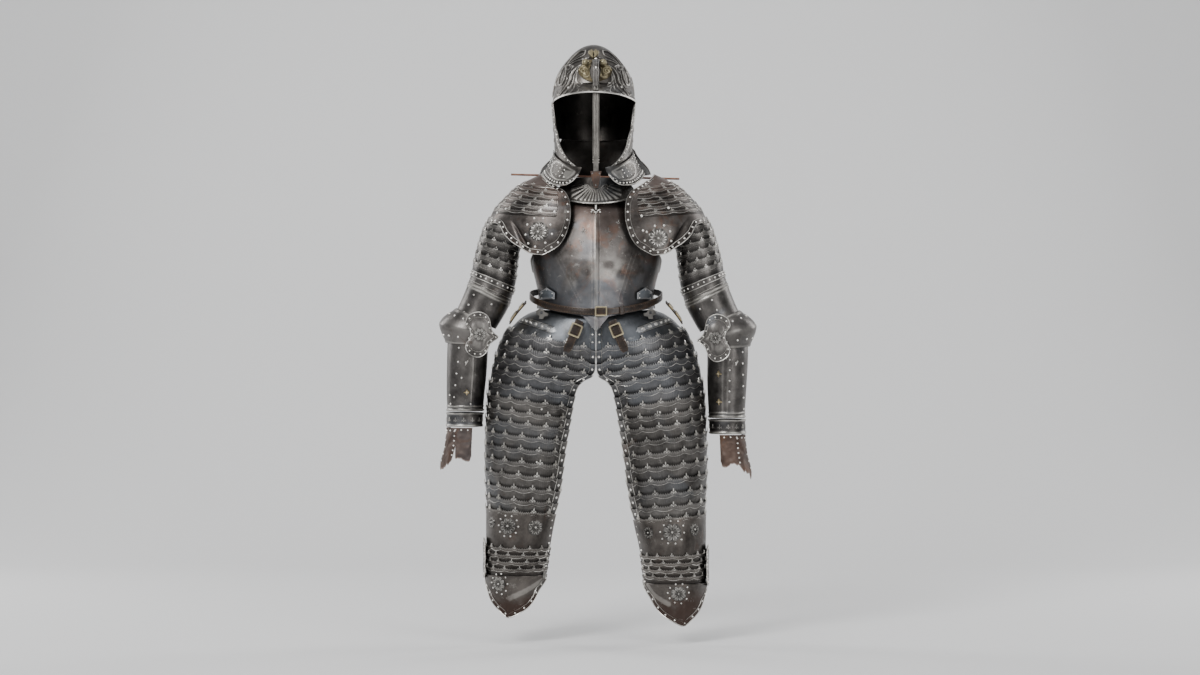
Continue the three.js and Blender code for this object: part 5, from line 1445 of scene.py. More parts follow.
for side, nm in ((-1, "right"), (1, "left")):
    orn, stud, gilt_acc = Acc(), Acc(), Acc()

    # ---- pauldron: u is the way from the front border over the ridge to the rear, v runs down the cap
    def cap_f(u, v, side=side):
        p = np.asarray(u, float); r = cap(v)
        rear = p > 0.5
        f = np.pi * np.where(rear, 1 - p, p)
        return arm_place(vec(r["ix"] + (r["ox"] - r["ix"]) * np.sin(f), r["iy"] * np.cos(f) * np.where(rear, -0.9, 1), r["iz"] + (r["oz"] - r["iz"]) * np.sin(f) ** 2), side)
    ps = Surf(cap_f, arm_place(vec(-130, 0, -120), side), vr=(1, 5))

    def end_of(p):
        q = np.where(p > 0.5, 1 - p, p); e = cap_end(q)
        return np.where(p > 0.5, e["rear"], e["front"])

    edge_uv = np.concatenate([np.stack([np.full(60, 0.0), np.linspace(0, 8.9, 60)], -1)[:-1], np.stack([np.linspace(0, 0.5, 120), end_of(np.linspace(0, 0.5, 120))], -1)])
    edge_uv = edge_uv[np.concatenate([[True], np.linalg.norm(np.diff(edge_uv, axis=0), axis=1) > 1e-6])]
    EDGE = ps.f(edge_uv[:, 0], edge_uv[:, 1])
    cr_px = ((511.5, 220.5), (516.4, 228), (521.4, 237), (527.2, 247)) if side < 0 else ((688, 219), (683.5, 227), (678.5, 236.5), (673.2, 246.5))
    cq = trace(ps, [front(*q) for q in cr_px], (0.28, 5.2), (0.03, 0.3), 40)
    crease = dense(ps.f(cq[:, 0], cq[:, 1]), 1.2)
    cw = np.linspace(3.0, 7.5, len(crease))
    ch = np.concatenate([np.linspace(-1.0, -6.0, len(crease) // 3), np.full(len(crease) - len(crease) // 3, -6.5)])

    def cap_disp(u, v, P, crease=crease, cw=cw, ch=ch):
        return relief(P, [(crease, cw, ch)])
    mid = ps.inset(edge_uv, 6.8, (0.25, 3))
    BAND = dense(ps.f(mid[:, 0], mid[:, 1]), 2.5)
    acc = Acc()
    cols = np.concatenate([np.linspace(0, 0.5, 110), np.linspace(0.5, 1, 60)[1:]])
    # the crease is painted dark as shade; the lower rim lighter, the stud band a little darker
    plate(acc, ps, cols, np.linspace(0, 1, 90), thick=1.9, vmap=lambda U, W: end_of(U) * W, disp=cap_disp,
          wear=lambda u, v, P: np.where(v > end_of(u) - 0.12, 0.5, 0) + np.clip(-0.2 * cap_disp(u, v, P), 0, 1) * -1.0 - 0.3 * (dist_to(P, BAND) < 5.2))
    # fretted lames over the shoulder, each lying on the one above
    for i, s in enumerate((1.35, 1.9, 2.45, 3.0, 3.55, 4.1)):
        s2 = s + 0.6
        mm = lambda us, s=s: np.linalg.norm(ps.f(us, np.full(us.shape, s + 0.2)) - ps.f(us, np.full(us.shape, s - 0.2)), axis=-1) / 0.4
        lame(acc, orn, ps, lambda u, s=s: np.full(np.shape(u), s), lambda u, s2=s2: np.full(np.shape(u), s2), -1, 1.7, 0.25, u0=0.058, u1=0.9, period=44,
             phase=14 + 13 * (i % 3), sag=2.0, tooth=3.0, pitch=4.4, fleur_size=10.5, lines=1, dvmm=mm, thick=1.0, step=1.6, fl_h=1.3, edge=0.45, line_w=1.1,
             swag_line=(4.5, 4.0), tone=(0.08, -0.05), vis=lambda u, mm=mm: 0.55 * mm(u), rows=(0, 0.07, 0.18, 0.34, 0.52, 0.7, 1.0))
    emit(acc, f"pauldron_{nm}_plates", M["shoulder"], [f"pauldron_{nm}"], smooth_angle=55)
    lines_uv = [ps.inset(edge_uv, d, (0.25, 3)) for d in (1.2, 12.5)]
    P, N = ps.frame(lines_uv[0][:, 0], lines_uv[0][:, 1]); strip(orn, P + N * 0.1, N, 2.2, 1.6, wear=0.85)
    P, N = ps.frame(lines_uv[1][:, 0], lines_uv[1][:, 1]); strip(orn, P + N * 0.1, N, 1.4, 1.1, wear=0.8)
    mid = ps.inset(edge_uv, 6.8, (0.25, 3))
    P = ps.f(mid[:, 0], mid[:, 1]); sl = np.concatenate([[0], np.cumsum(np.linalg.norm(np.diff(P, axis=0), axis=1))])
    cnt = int(sl[-1] / 18.5)
    tt = np.linspace(6, sl[-1] - 4, cnt)
    add_studs(stud, ps, np.interp(tt, sl, mid[:, 0]), np.interp(tt, sl, mid[:, 1]), 2.9, 0)
    rear_uv = np.stack([np.linspace(1.0, 0.5, 100), end_of(np.linspace(1.0, 0.5, 100))], -1)
    ri = ps.inset(rear_uv, 1.2, (0.75, 3)); P, N = ps.frame(ri[:, 0], ri[:, 1]); strip(orn, P, N, 3.0, 1.6)
    for v in (0.0,):
        top_uv = around(ps, 0.05, 0.0, 1.0, 80)
        P, N = ps.frame(top_uv[:, 0], top_uv[:, 1]); strip(orn, P, N, 2.6, 1.4)
    # rosette and the big studs
    c = locate(ps, *(front(538.3, 231.8) if side < 0 else front(658.3, 238.3)), (0.165, 6.05), (0.03, 0.3))
    P, N = ps.frame(c[:1], c[1:])
    rosette(orn, [], P, N, [0, 0, 1.0], 25.5, 8, tone=-0.25)
    ring_of_studs(stud, ps, c, 33, 9, 3.1, 0, reach=(0.03, 0.3))
    for (px, py, r) in ((554.5, 212, 4.4), (506, 209, 3.2), (497.5, 213, 3.2)) if side < 0 else ((641.6, 216, 3.8), (643, 230.5, 3.2), (668.4, 208, 3.8)):
        q = locate(ps, *front(px, py), (0.12, 4.6), (0.03, 0.3)); add_studs(stud, ps, np.clip(q[:1], 0.03, 0.6), q[1:], r, 0.6)

    # ---- upper arm
    def arm_f(u, v, side=side):
        return arm_place(arm_ring(arm_rows(v), 2 * np.pi * np.asarray(u, float)), side)
    ar = Surf(arm_f, arm_place(vec(-245, -4, -240), side), vr=(1, 5))
    acc = Acc()
    mm = lambda us: np.full(us.shape, 38.0)
    K = np.linspace(-0.7, 2.95, 8)
    base_acc = Acc()
    for i in range(7):
        k0, k1 = K[i], K[i + 1]
        lame(acc, orn, ar, lambda u, k0=k0: np.full(np.shape(u), k0), lambda u, k1=k1: np.full(np.shape(u), k1 + 0.22), -1, 3.2, 0.2, u0=-0.5, u1=0.5, period=26,
             phase=8 + 13 * (i % 2), sag=1.8, tooth=2.9, pitch=4.2, fleur_size=10.5 if i else 0, lines=2, dvmm=mm, thick=1.3, step=1.6, fl_h=1.3, edge=0.4, line_w=1.0,
             swag_line=(7.0, 2.0), tone=(0.1, -0.02), vis=lambda u: np.full(np.shape(u), 19.8), rows=(0, 0.07, 0.2, 0.38, 0.55, 1.0))
    emit(acc, f"arm_{nm}_fretted_lames", M["limb"], [f"arm_lames_{nm}"], smooth_angle=50)

    # upper cannon: studded band, smooth band, double ridge, ribbed tube
    acc = Acc()

    def cannon_disp(u, v, P):
        a = 2 * np.pi * u
        step_ = 2.6 * (1 - smooth((v - 3.42) / 0.05))
        ridge = 2.6 * np.exp(-((v - 3.98) / 0.05) ** 2) + 2.0 * np.exp(-((v - 4.16) / 0.05) ** 2)
        ribs = (smooth((v - 4.35) / 0.1) * smooth((5.9 - v) / 0.1)) * sum(0.45 * np.exp(-(((a - b + np.pi) % (2 * np.pi) - np.pi) / 0.035) ** 2) for b in ((0.62,) if side < 0 else (0.42, 0.55, 0.68)))
        return step_ + ridge + ribs
    plate(acc, ar, np.linspace(0, 1, 181)[:-1], np.concatenate([np.linspace(3.0, 4.4, 44), np.linspace(4.4, 6.0, 16)[1:]]), thick=1.8, disp=cannon_disp, closed=True,
          wear=lambda u, v, P: np.clip(np.exp(-((v - 3.98) / 0.06) ** 2) + np.exp(-((v - 4.16) / 0.05) ** 2), 0, 1))
    emit(acc, f"arm_{nm}_upper_cannon", M["limb"], [f"upper_cannon_{nm}"], smooth_angle=50)
    uu = np.linspace(-0.5, 0.5, 25)[:-1]
    add_studs(stud, ar, uu, np.full(24, 3.2), 2.7, 2.7)
    for k, w, o in ((3.03, 2.2, 2.7), (3.39, 2.0, 2.6), (3.76, 1.4, 0.1)):
        bead(orn, ar, around(ar, k, -0.5, 0.5, 100), w, 1.1, o, raw=True)
    for (px, py) in ((473.8, 294.8), (468.6, 304.8), (462.5, 315.2), (491.5, 304.2)) if side < 0 else ((712, 300), (717, 310), (722, 320), (700, 309)):
        q = locate(ar, *front(px, py), (0.0, 4.8), (0.04, 0.3)); add_studs(stud, ar, q[:1], np.clip(q[1:], 4.4, 5.8), 2.6, 0)

    # ---- couter: elbow cup and its wing
    def cup_f(u, v, side=side):
        return arm_place(arm_ring(cup(v), rad(lerp(14.0, -200.0, np.asarray(u, float)))), side)
    cs = Surf(cup_f, arm_place(vec(-290, -4, -370), side), vr=(-400, -345))
    acc = Acc()
    cr = lambda u, v: 0.8 * np.exp(-((v + 369) / 5.0) ** 2) + 1.4 * np.exp(-((v + 341) / 2) ** 2) + 1.4 * np.exp(-((v + 402) / 2) ** 2)
    plate(acc, cs, np.linspace(0, 1, 110), np.linspace(-338, -405, 60), thick=1.8, disp=lambda u, v, P: cr(u, v), wear=lambda u, v, P: np.clip(cr(u, v) / 2.6, 0, 1) * 0.7)
    emit(acc, f"couter_{nm}_cup", M["limb"], [f"couter_{nm}"], smooth_angle=50)
    for z, n, r in ((-350, 9, 2.8), (-389, 9, 2.8)):
        stud_row(stud, cs, np.stack([np.linspace(0.05, 0.95, 60), np.full(60, z)], -1), n, r, 0, raw=True)

    def bez(p0, p1, p2, p3, n=14):
        t = np.linspace(0, 1, n, endpoint=False)[:, None]
        return (1 - t) ** 3 * np.array(p0) + 3 * (1 - t) ** 2 * t * np.array(p1) + 3 * (1 - t) * t**2 * np.array(p2) + t**3 * np.array(p3)
    wing_pts = [(178, 1350), (190, 1320), (213, 1307), (238, 1302), (263, 1309), (280, 1325), (287, 1350), (291, 1380), (305, 1398), (325, 1411), (303, 1425), (284, 1440),
                (278, 1460), (268, 1480), (252, 1493), (233, 1498), (210, 1492), (192, 1480), (180, 1460), (183, 1437), (197, 1420), (204, 1400), (203, 1382), (192, 1366)]
    wx = np.array([9.6 + ((422 + q[0] / 4.185) - 600) * 2.4 / 1.0114 for q in wing_pts]); wz = np.array([-387.6 - ((q[1] / 4.185) - 337.5) * 2.4 / 1.0114 for q in wing_pts])
    t0 = np.arange(len(wx) + 6) - 3
    tt_ = np.linspace(0, len(wx), 97)[:-1]
    ext = lambda w: np.interp(tt_, t0, w[t0 % len(w)])
    O2 = np.stack([ext(wx), ext(wz)], -1)
    for _ in range(3):
        O2 = (np.roll(O2, 1, 0) + 2 * O2 + np.roll(O2, -1, 0)) / 4
    cen = np.array([-275.0, -380.5])

    def wing_f(u, v, side=side):                 # u round the outline, v from the middle (0) to the edge (1)
        t = (np.asarray(u, float) % 1.0) * len(O2)
        i = np.floor(t).astype(int) % len(O2); j = (i + 1) % len(O2); fr = (t - np.floor(t))
        ex = lerp(O2[i, 0], O2[j, 0], fr); ez = lerp(O2[i, 1], O2[j, 1], fr)
        x = lerp(cen[0], ex, v); z = lerp(cen[1], ez, v)
        y = -79 + 14 * np.clip((x + 285) / 52, 0, 1) ** 2 - 3.0 * (1 - np.asarray(v, float) ** 2)
        return arm_place(vec(x, y, z), side)
    ws = Surf(wing_f, arm_place(vec(-287, 40, -381), side), vr=(0.3, 0.9))
    acc = Acc()
    leaf = lambda u, v: 0.9 * np.abs(np.cos(np.pi * 6 * u)) * smooth((0.62 - v) / 0.1) * smooth((v - 0.3) / 0.05)
    plate(acc, ws, np.linspace(0, 1, 151)[:-1], np.linspace(0.04, 1, 28), thick=1.9, closed=True, disp=lambda u, v, P: leaf(u, v), wear=lambda u, v, P: np.where(v > 0.97, 0.9, leaf(u, v) * 0.3))
    emit(acc, f"couter_{nm}_wing", M["limb"], [f"couter_wing_{nm}"], smooth_angle=50)
    for v, w in ((0.975, 3.0), (0.755, 1.8)):
        uu = np.linspace(0, 1, 141)[:-1]; P, N = ws.frame(uu, np.full(140, v)); strip(orn, P, N, w * 0.75, 1.2, closed=True)
    u = np.linspace(0, 1, 1000); P = ws.f(u, np.full(1000, 0.865)); sl = np.concatenate([[0], np.cumsum(np.linalg.norm(np.diff(P, axis=0), axis=1))])
    tt = np.linspace(0, sl[-1], 20)[:-1]; add_studs(stud, ws, np.interp(tt, sl, u), np.full(19, 0.865), 2.4, 0)
    P, N = ws.frame(np.array([0.25]), np.array([0.06])); P = ws.f(np.array([0.25]), np.array([0.0]))
    rosette(orn, [], P + N * 0.3, N, [0, 0, 1.0], 16, 8, tone=0.1)

    # ---- lower cannon and cuff
    def fore_f(u, v, side=side):
        return arm_place(arm_ring(fore_rows(v), 2 * np.pi * np.asarray(u, float)), side)
    fs = Surf(fore_f, arm_place(vec(-311, -4, -480), side), vr=(-560, -400))
    acc = Acc()
    faint = (0.35,) if side < 0 else (0.02, 0.28)

    def fore_disp(u, v, P):
        a = 2 * np.pi * u
        near = lambda b, w: np.exp(-(((a - b + np.pi) % (2 * np.pi) - np.pi) / w) ** 2)
        z = smooth((-390 - v) / 6) * smooth((v + 556) / 6)
        ribs = z * sum(0.6 * near(b, 0.03) for b in (*faint, 2.4, 3.4))
        rings = 3.2 * np.exp(-((v + 561) / 2.2) ** 2) + 1.5 * np.exp(-((v + 552) / 1.6) ** 2) + 1.6 * np.exp(-((v + 386) / 2.2) ** 2)
        return ribs + rings
    plate(acc, fs, np.linspace(0, 1, 181)[:-1], np.concatenate([np.linspace(-384, -392, 6)[:-1], np.linspace(-392, -546, 24)[:-1], np.linspace(-546, -564, 16)]), thick=1.8, closed=True, disp=fore_disp,
          wear=lambda u, v, P: np.clip(fore_disp(u, v, P) / 1.8, 0, 0.9))
    emit(acc, f"arm_{nm}_lower_cannon", M["limb"], [f"lower_cannon_{nm}"], smooth_angle=50)
    column = ((458.9, 347.7), (458.1, 361.8), (456.5, 373.6), (455.4, 385.2), (454.2, 397.1), (450.6, 407.3), (461.5, 377.8), (470.5, 407.5), (449.8, 395)) if side < 0 else \
        tuple((729.8 - 0.08 * k, 349 + 10.6 * k) for k in range(6)) + tuple((742.5 + 0.25 * k, 352 + 11.4 * k) for k in range(6))
    for (px, py) in column:
        q = locate(fs, *front(px, py), (-0.05 if side < 0 else 0.0, -450), (0.04, 8)); add_studs(stud, fs, q[:1], np.clip(q[1:], -546, -395), 2.5, 0)
    acc = Acc()
    cd = lambda u, v: 2.6 * np.exp(-((v + 569) / 2.0) ** 2) + 2.4 * np.exp(-((v + 598) / 2.4) ** 2)
    plate(acc, fs, np.linspace(0, 1, 161)[:-1], np.linspace(-567, -601, 30), off=0.8, thick=1.8, closed=True, disp=lambda u, v, P: cd(u, v), wear=lambda u, v, P: np.clip(cd(u, v) / 2.4, 0, 1))
    emit(acc, f"arm_{nm}_cuff", M["limb"], [f"cuff_{nm}"], smooth_angle=50)
    uc = (np.arange(13) + 0.5) / 13 - 0.5
    P, N = fs.frame(uc, np.full(13, -589.0))
    fleur(orn, P + N * 0.7, N, np.broadcast_to(np.array([0, 0, 1.0]), P.shape), 12, 1.1, 0.6)
    # gilt clasps of the lower cannon
    for (px, py) in ((466.7, 392.4),) if side < 0 else ((719, 402), (718.5, 374)):
        q = locate(fs, *front(px, py), (0.0, -500), (0.04, 8))
        P, N = fs.frame(q[:1], q[1:])
        for t in (0.0, 1.57):
            blob(gilt_acc, P + N * 0.8, N, [[math.sin(t), 0, math.cos(t)]], lens(5.5, 17, 0, -8.5, n=12), 2.0, 0.3, sink=1.0)
        dome(gilt_acc, P + N * 2.4, N, 2.4, wear=0.9)
    q = locate(fs, *(front(466.0, 362.6) if side < 0 else front(735.5, 363)), (0.0, -440), (0.04, 8))
    P, N = fs.frame(q[:1], q[1:])
    blob(orn, P + N * 0.5, N, [[0.25, 0, 1.0]], lens(4.2, 17, 0, -8.5, n=12, bend=0.3), 3.2, 0.9, sink=1.0)
    dome(orn, P + N * 0.8, N, 3.0, wear=0.8)

    # ---- torn hand plates
    def hand_f(u, v, side=side):
        ang = lerp(-125.0, 30.0, np.asarray(u, float))
        z = lerp(-603.0, torn(ang)["end"], np.asarray(v, float)); s = hand(z)
        return arm_place(arm_ring({**s}, rad(ang)), side)
    hs = Surf(hand_f, arm_place(vec(-316, -4, -650), side))
    acc = Acc()
    n = 150
    us = np.linspace(0, 1, n)
    rag = 5.5 * noise2(us * 9, 0 * us + side * 3.3, 7) + 3.0 * noise2(us * 25, 0 * us, 9) + 1.6 * noise2(us * 60, 0 * us, 11)
    vb = 1 - (6 + rag) / 85 - (0.42 * np.exp(-((us - 0.66) / 0.022) ** 2) if side < 0 else 0.12 * np.exp(-((us - 0.4) / 0.03) ** 2) + 0.22 * smooth((0.24 - us) / 0.14) - 0.07 * np.exp(-((us - 0.34) / 0.08) ** 2))
    folds = lambda u, v, P: 1.3 * noise2(u * 7 + 3, v * 4, 21) * smooth(v * 3) + 0.6 * noise2(u * 24, v * 16, 23) + 1.6 * np.exp(-((v - 0.02) / 0.02) ** 2)
    lift = lambda u, v, P: folds(u, v, P) - 2.2 * smooth((v - 0.5) * 2) * (0.5 + 0.5 * np.cos(2 * np.pi * u * 2.5 + side))
    plate(acc, hs, us, np.linspace(0, 1, 60), thick=1.5, vmap=lambda U, W: W * np.interp(U, us, vb), disp=lift,
          wear=lambda u, v, P: np.where(v > np.interp(u, us, vb) - 0.03, 0.9, 0.35 * noise2(u * 14, v * 9, 31)))
    emit(acc, f"hand_{nm}_torn_plate", M["russet"], [f"hand_plate_{nm}"], smooth_angle=50)
    for (u0, v0, v1, cnt) in ((0.32, 0.12, 0.72, 5), (0.62, 0.1, 0.8, 6)):
        stud_row(stud, hs, np.stack([np.full(40, u0), np.linspace(v0, v1, 40)], -1), cnt, 2.3, 0.8, raw=True)
    stud_row(stud, hs, np.stack([np.linspace(0.1, 0.9, 40), np.full(40, 0.07)], -1), 7, 2.1, 0.8, raw=True)

    emit(orn, f"arm_{nm}_lines", M["line"])
    emit(stud, f"arm_{nm}_studs", M["rivet"])
    emit(gilt_acc, f"arm_{nm}_clasps", M["brass"])

# ================================================================== legs
leg_rows = table(["z", "x", "w", "f", "slope", "inner"], [
    [-334, 0, 136, 138, 0.10, -0.6], [-355, -8, 157, 144, 0.15, -0.6], [-380, -22, 168, 145, 0.18, -0.6],
    [-409, -45, 169, 145, 0.207, -0.6], [-437, -72, 158, 143, 0.19, -1.6], [-450, -86, 150, 141, 0.18, -3.2],
    [-463, -98, 142, 139, 0.17, -10], [-476, -109, 134, 136, 0.163, -29], [-490, -120, 127, 134, 0.155, -43], [-528, -143, 113, 127, 0.145, -54],
    [-576, -155, 104.5, 120, 0.13, -62.5], [-655, -162, 101, 114, 0.11, -75], [-720, -167, 96, 110, 0.095, -83],
    [-768, -170, 90.5, 108, 0.08, -91], [-811, -175, 85, 107, 0.06, -100], [-864, -182, 80, 108, 0.04, -108],
    [-890, -184, 78, 106, 0.03, -111], [-955, -188, 74, 98, 0, -120], [-1060, -194, 64, 84, 0, -130]])
tip = table(["t", "end"], [[0, -964], [0.1, -984], [0.16, -1006], [0.24, -1026], [0.33, -1040], [0.444, -1052], [0.57, -1034], [0.67, -1012], [0.73, -992], [0.86, -970], [1, -964]])
strap_path = table(["t", "x", "z", "off"], [[0, -38, -347, 9], [0.3, -46, -366, 9], [0.6, -56, -390, 9], [1, -70, -421, 9]])
LAME_AT = [-411, -438, -462, -486.5, -515, -543.5, -571, -597.5, -627, -657, -687.5, -718, -749, -778, -804]


def front(px, py):
    """a place in the front view, on its 2.4 mm grid"""
    return (px - 600) * 2.4 + 9.6, -387.6 - (py - 337.5) * 2.4




def leg_place(p, side):
    if side < 0:
        return p
    q = p.copy()
    q[..., 0] = -p[..., 0]
    q[..., 2] = p[..., 2] - 20 * smooth((-p[..., 2] - 440) / 560)
    return q


def hip_surface(x, z):
    zc = np.asarray(z, float)
    for _ in range(6):
        s = leg_rows(zc); zc = z + (x - s["x"]) * s["slope"]
    s = leg_rows(np.minimum(-334, zc))
    return -s["f"] * np.sqrt(np.maximum(0.05, 1 - ((x - s["x"]) / s["w"]) ** 2))


def border_u(surf, d, zz):
    """the way round the leg at which the front view lies d mm outside the inner edge"""
    g = np.linspace(0, 0.45, 91)
    out = []
    for z in np.atleast_1d(zz):
        X = surf.f(g, np.full(91, float(z)))[:, 0]
        out.append(np.interp(d, np.maximum.accumulate(np.abs(X - X[0])), g))
    return np.array(out)


for side, nm in ((-1, "right"), (1, "left")):
    orn, stud = Acc(), Acc()

    def leg_f(u, v, side=side):
        z = np.asarray(v, float)
        s = leg_rows(z)
        inner = s["inner"] + (6 if side > 0 else 0) * smooth((-z - 440) / 60)
        a0 = np.arcsin(np.clip((inner - s["x"]) / s["w"], -1, 0.97))
        a = lerp(a0, -rad(118 - 20 * smooth((z + 420) / 90)), np.asarray(u, float))
        return leg_place(ring(a, x=s["x"], z=z, w=s["w"], f=s["f"], b=s["f"] * 0.9, tilt=-s["slope"]), side)
    ls = Surf(leg_f, leg_place(vec(-150, 20, -600), side), vr=(-900, -380))

    # ---- hip plate: bluish, with a studded band under the belt
    acc = Acc()
    band = trace(ls, [(side * 178, -345), (side * 140, -357), (side * 104, -370.5)], (0.55, -375), (0.06, 8), 60)
    bandP = dense(ls.f(band[:, 0], band[:, 1]), 2)
    hd = lambda u, v: 0.0 * v

    def hip_disp(u, v, P, bandP=bandP):
        d = dist_to(P, bandP)
        return -0.9 * smooth((-v - 405) / 6) + 0.7 * smooth((7.2 - d) / 1.2)
    # below z -413 the plate lies under the first lame's edge and is painted dark as shade; the studded band lighter, a
    # darker strip just outside its beads
    plate(acc, ls, np.linspace(0, 1, 150), np.linspace(-334, -418, 40), off=-0.0, thick=1.8, disp=hip_disp,
          wear=lambda u, v, P, bandP=bandP: np.where(v < -413, -0.8, np.where(dist_to(P, bandP) < 7.0, 0.42, np.where(dist_to(P, bandP) < 9.5, -0.5, -0.05))))
    for d in (-6.6, 6.6):
        q = band.copy(); q[:, 1] += d
        bead(orn, ls, q, 1.5, 1.4, 0.4, raw=True, wear=0.7)
    sl = np.concatenate([[0], np.cumsum(np.linalg.norm(np.diff(ls.f(band[:, 0], band[:, 1]), axis=0), axis=1))])
    for t in (np.arange(6) + 0.5) / 6 * sl[-1]:
        P, N = ls.frame(np.interp([t], sl, band[:, 0]), np.interp([t], sl, band[:, 1]))
        add_studs(stud, ls, np.interp([t], sl, band[:, 0]), np.interp([t], sl, band[:, 1]), 2.1, 0.7)
        up = unit(np.array([0, 0, 1.0]) - N[0] * N[0][2]); sd_ = np.cross(up, N[0]); a = np.linspace(0, 2 * np.pi, 17)[:-1]
        strip(orn, P[0] + N[0] * 0.7 + (up * np.cos(a)[:, None] + sd_ * np.sin(a)[:, None]) * 4.1, np.broadcast_to(N[0], (16, 3)), 1.1, 0.9, closed=True, wear=0.9)
    # ---- thigh lames, five, five and four
    groups = {"upper": (0, 5), "middle": (5, 10), "lower": (10, 14)}
    for g, (i0, i1) in groups.items():
        pl = acc if g == "upper" else Acc()
        first = [acc] if g == "upper" else None
        if g == "upper":
            emit(acc, f"leg_{nm}_hip_plate", M["blue"], [f"hip_plate_{nm}"], smooth_angle=55)
            pl = Acc()
        for i in range(i0, i1):
            z0, z1 = LAME_AT[i], LAME_AT[i + 1]
            last = i == 13
            ub = border_u(ls, 13.5, np.array([z0 + 4.0]))[0]
            room = float(np.linalg.norm(ls.f(np.array([ub]), np.array([z0 + 4.0])) - ls.f(np.array([0.0]), np.array([z0 + 4.0])))) + 1.5
            lame(pl, orn, ls, lambda u, z0=z0: z0 + 4 + 0 * u, lambda u, z1=z1, last=last: z1 - (1 if last else 6) + 0 * u, 1, 4.6, 0.1, u0=0.0, u1=1.0, period=41.5,
                 phase=room + 14 + (5 * math.sin(i * 1.7)), sag=3.0, tooth=5.0, pitch=5.2, fleur_size=14.5, lines=1, step=1.5, line_u=(ub, 1.0), line_w=1.1, edge=0.4, fl_h=1.7,
                 swag_line=(5.0, 5.5), plain=room, tone=(0.06, -0.06), vis=lambda u, h=z0 - z1: np.full(np.shape(u), h), rows=(0, 0.05, 0.11, 0.22, 0.38, 0.52, 0.64, 1))
        emit(pl, f"leg_{nm}_lames_{g}", M["steel"] if g != "upper" else M["thigh"], [f"thigh_lames_{g}_{nm}"], smooth_angle=50)
    for i in range(14):                               # inner border: two lines and a stud on each lame
        z0, z1 = LAME_AT[i], LAME_AT[i + 1]
        off_z = lambda z, z0=z0, z1=z1: lerp(4.6, 0.1, np.clip((z0 + 4 - z) / (z0 - z1 + 10), 0, 1))

        border = lambda d, zz: border_u(ls, d, zz)
        for d in (0.8, 13.0):
            zz = np.linspace(z0 + 3, z1 + 4.5, 10)
            u = border(d, zz)
            Pq, Nq = ls.frame(u, zz)
            strip(orn, Pq + Nq * off_z(zz)[:, None], Nq, 1.9 if d < 5 else 1.4, 1.2, wear=0.8)
        zm = np.array([(z0 + z1) / 2 + 2])
        add_studs(stud, ls, border(6.8, zm), zm, 3.4, float(off_z(zm)[0]))
        if i % 2 == 0:
            add_studs(stud, ls, np.array([0.86]), zm, 3.0, 2.0)
    zz = np.linspace(-352, LAME_AT[0] + 2, 30)
    for d, w_ in ((1.5, 1.3), (13.0, 1.1)):
        bead(orn, ls, np.stack([border(d, zz), zz], -1), w_, 1.1, 0.1, raw=True)
    zz = np.array([-362.0, -378, -394]); add_studs(stud, ls, border(7.5, zz), zz, 2.6, 0.1)
    for (px, py) in ((541.5, 409), (536.5, 462)) if side < 0 else ((660, 412), (664, 466)):
        uv = locate(ls, *front(px, py), (0.4, -560), (0.06, 8)); add_studs(stud, ls, uv[:1], uv[1:], 2.7, 2.5)

    # ---- knee: rosette plate, narrow lames
    acc = Acc()
    kd = lambda u, v: 1.2 * np.exp(-((v + 813) / 1.6) ** 2)
    lame(acc, orn, ls, lambda u: -800 + 0 * u, lambda u: -896 + 0 * u, 1, 4.6, 0.6, period=41.5, phase=33, sag=3, tooth=4.2, pitch=4.6, fleur_size=14, lines=1, plain=17.0,
         swag_line=(5.0, 5.0), line_w=1.2, edge=0.55, rows=(0, 0.02, 0.05, 0.1, 0.16, 0.25, 0.5, 0.75, 1.0))
    off_k = lambda z: lerp(4.6, 0.6, (-806 - z) / 90)
    spots = (((508.5, 526), 21, 1), ((534.8, 527.4), 20, 0), ((492.9, 522.4), 15, 0)) if side < 0 else (((672.2, 532.3), 23, 1), ((649.2, 532.3), 16, 0), ((693.6, 529.5), 16, 0))
    for ((px, py), r, full) in spots:
        uv = locate(ls, *front(px, py), (0.35, -850), (0.05, 8))
        uv[0] = np.clip(uv[0], 0.04, 0.92)
        P, N = ls.frame(uv[:1], uv[1:])
        o = float(off_k(uv[1]))
        rosette(orn, [], P + N * o, N, [0, 0, 1.0], r, 8, tone=-0.15 if full else -0.4)
        if full:
            ring_of_studs(stud, ls, uv, r * 1.2, 10, 2.4, o, reach=(0.05, 8))
    emit(acc, f"leg_{nm}_knee_plate", M["knee"], [f"knee_plate_{nm}"], smooth_angle=50)
    acc = Acc()
    for i in range(4):
        z0, z1 = -890 - 65 / 4 * i, -890 - 65 / 4 * (i + 1)
        lame(acc, orn, ls, lambda u, z0=z0: z0 + 4 + 0 * u, lambda u, z1=z1: z1 - 5 + 0 * u, 1, 4.2, 0.1, period=34, phase=14 + 12 * (i % 2), sag=2.5, tooth=3.2, pitch=4.4, fleur_size=10, lines=1,
             swag_line=(4.5, 3.5), tone=(0.08, -0.06), vis=lambda u: np.full(np.shape(u), 16.25), edge=0.4, line_w=1.1, rows=(0, 0.06, 0.15, 0.3, 0.45, 0.7, 1))
    emit(acc, f"leg_{nm}_knee_lames", M["knee"], [f"knee_lames_{nm}"], smooth_angle=50)
    for z in np.linspace(-818, -950, 8):
        add_studs(stud, ls, np.array([0.045]), np.array([z]), 2.7, 2.6)

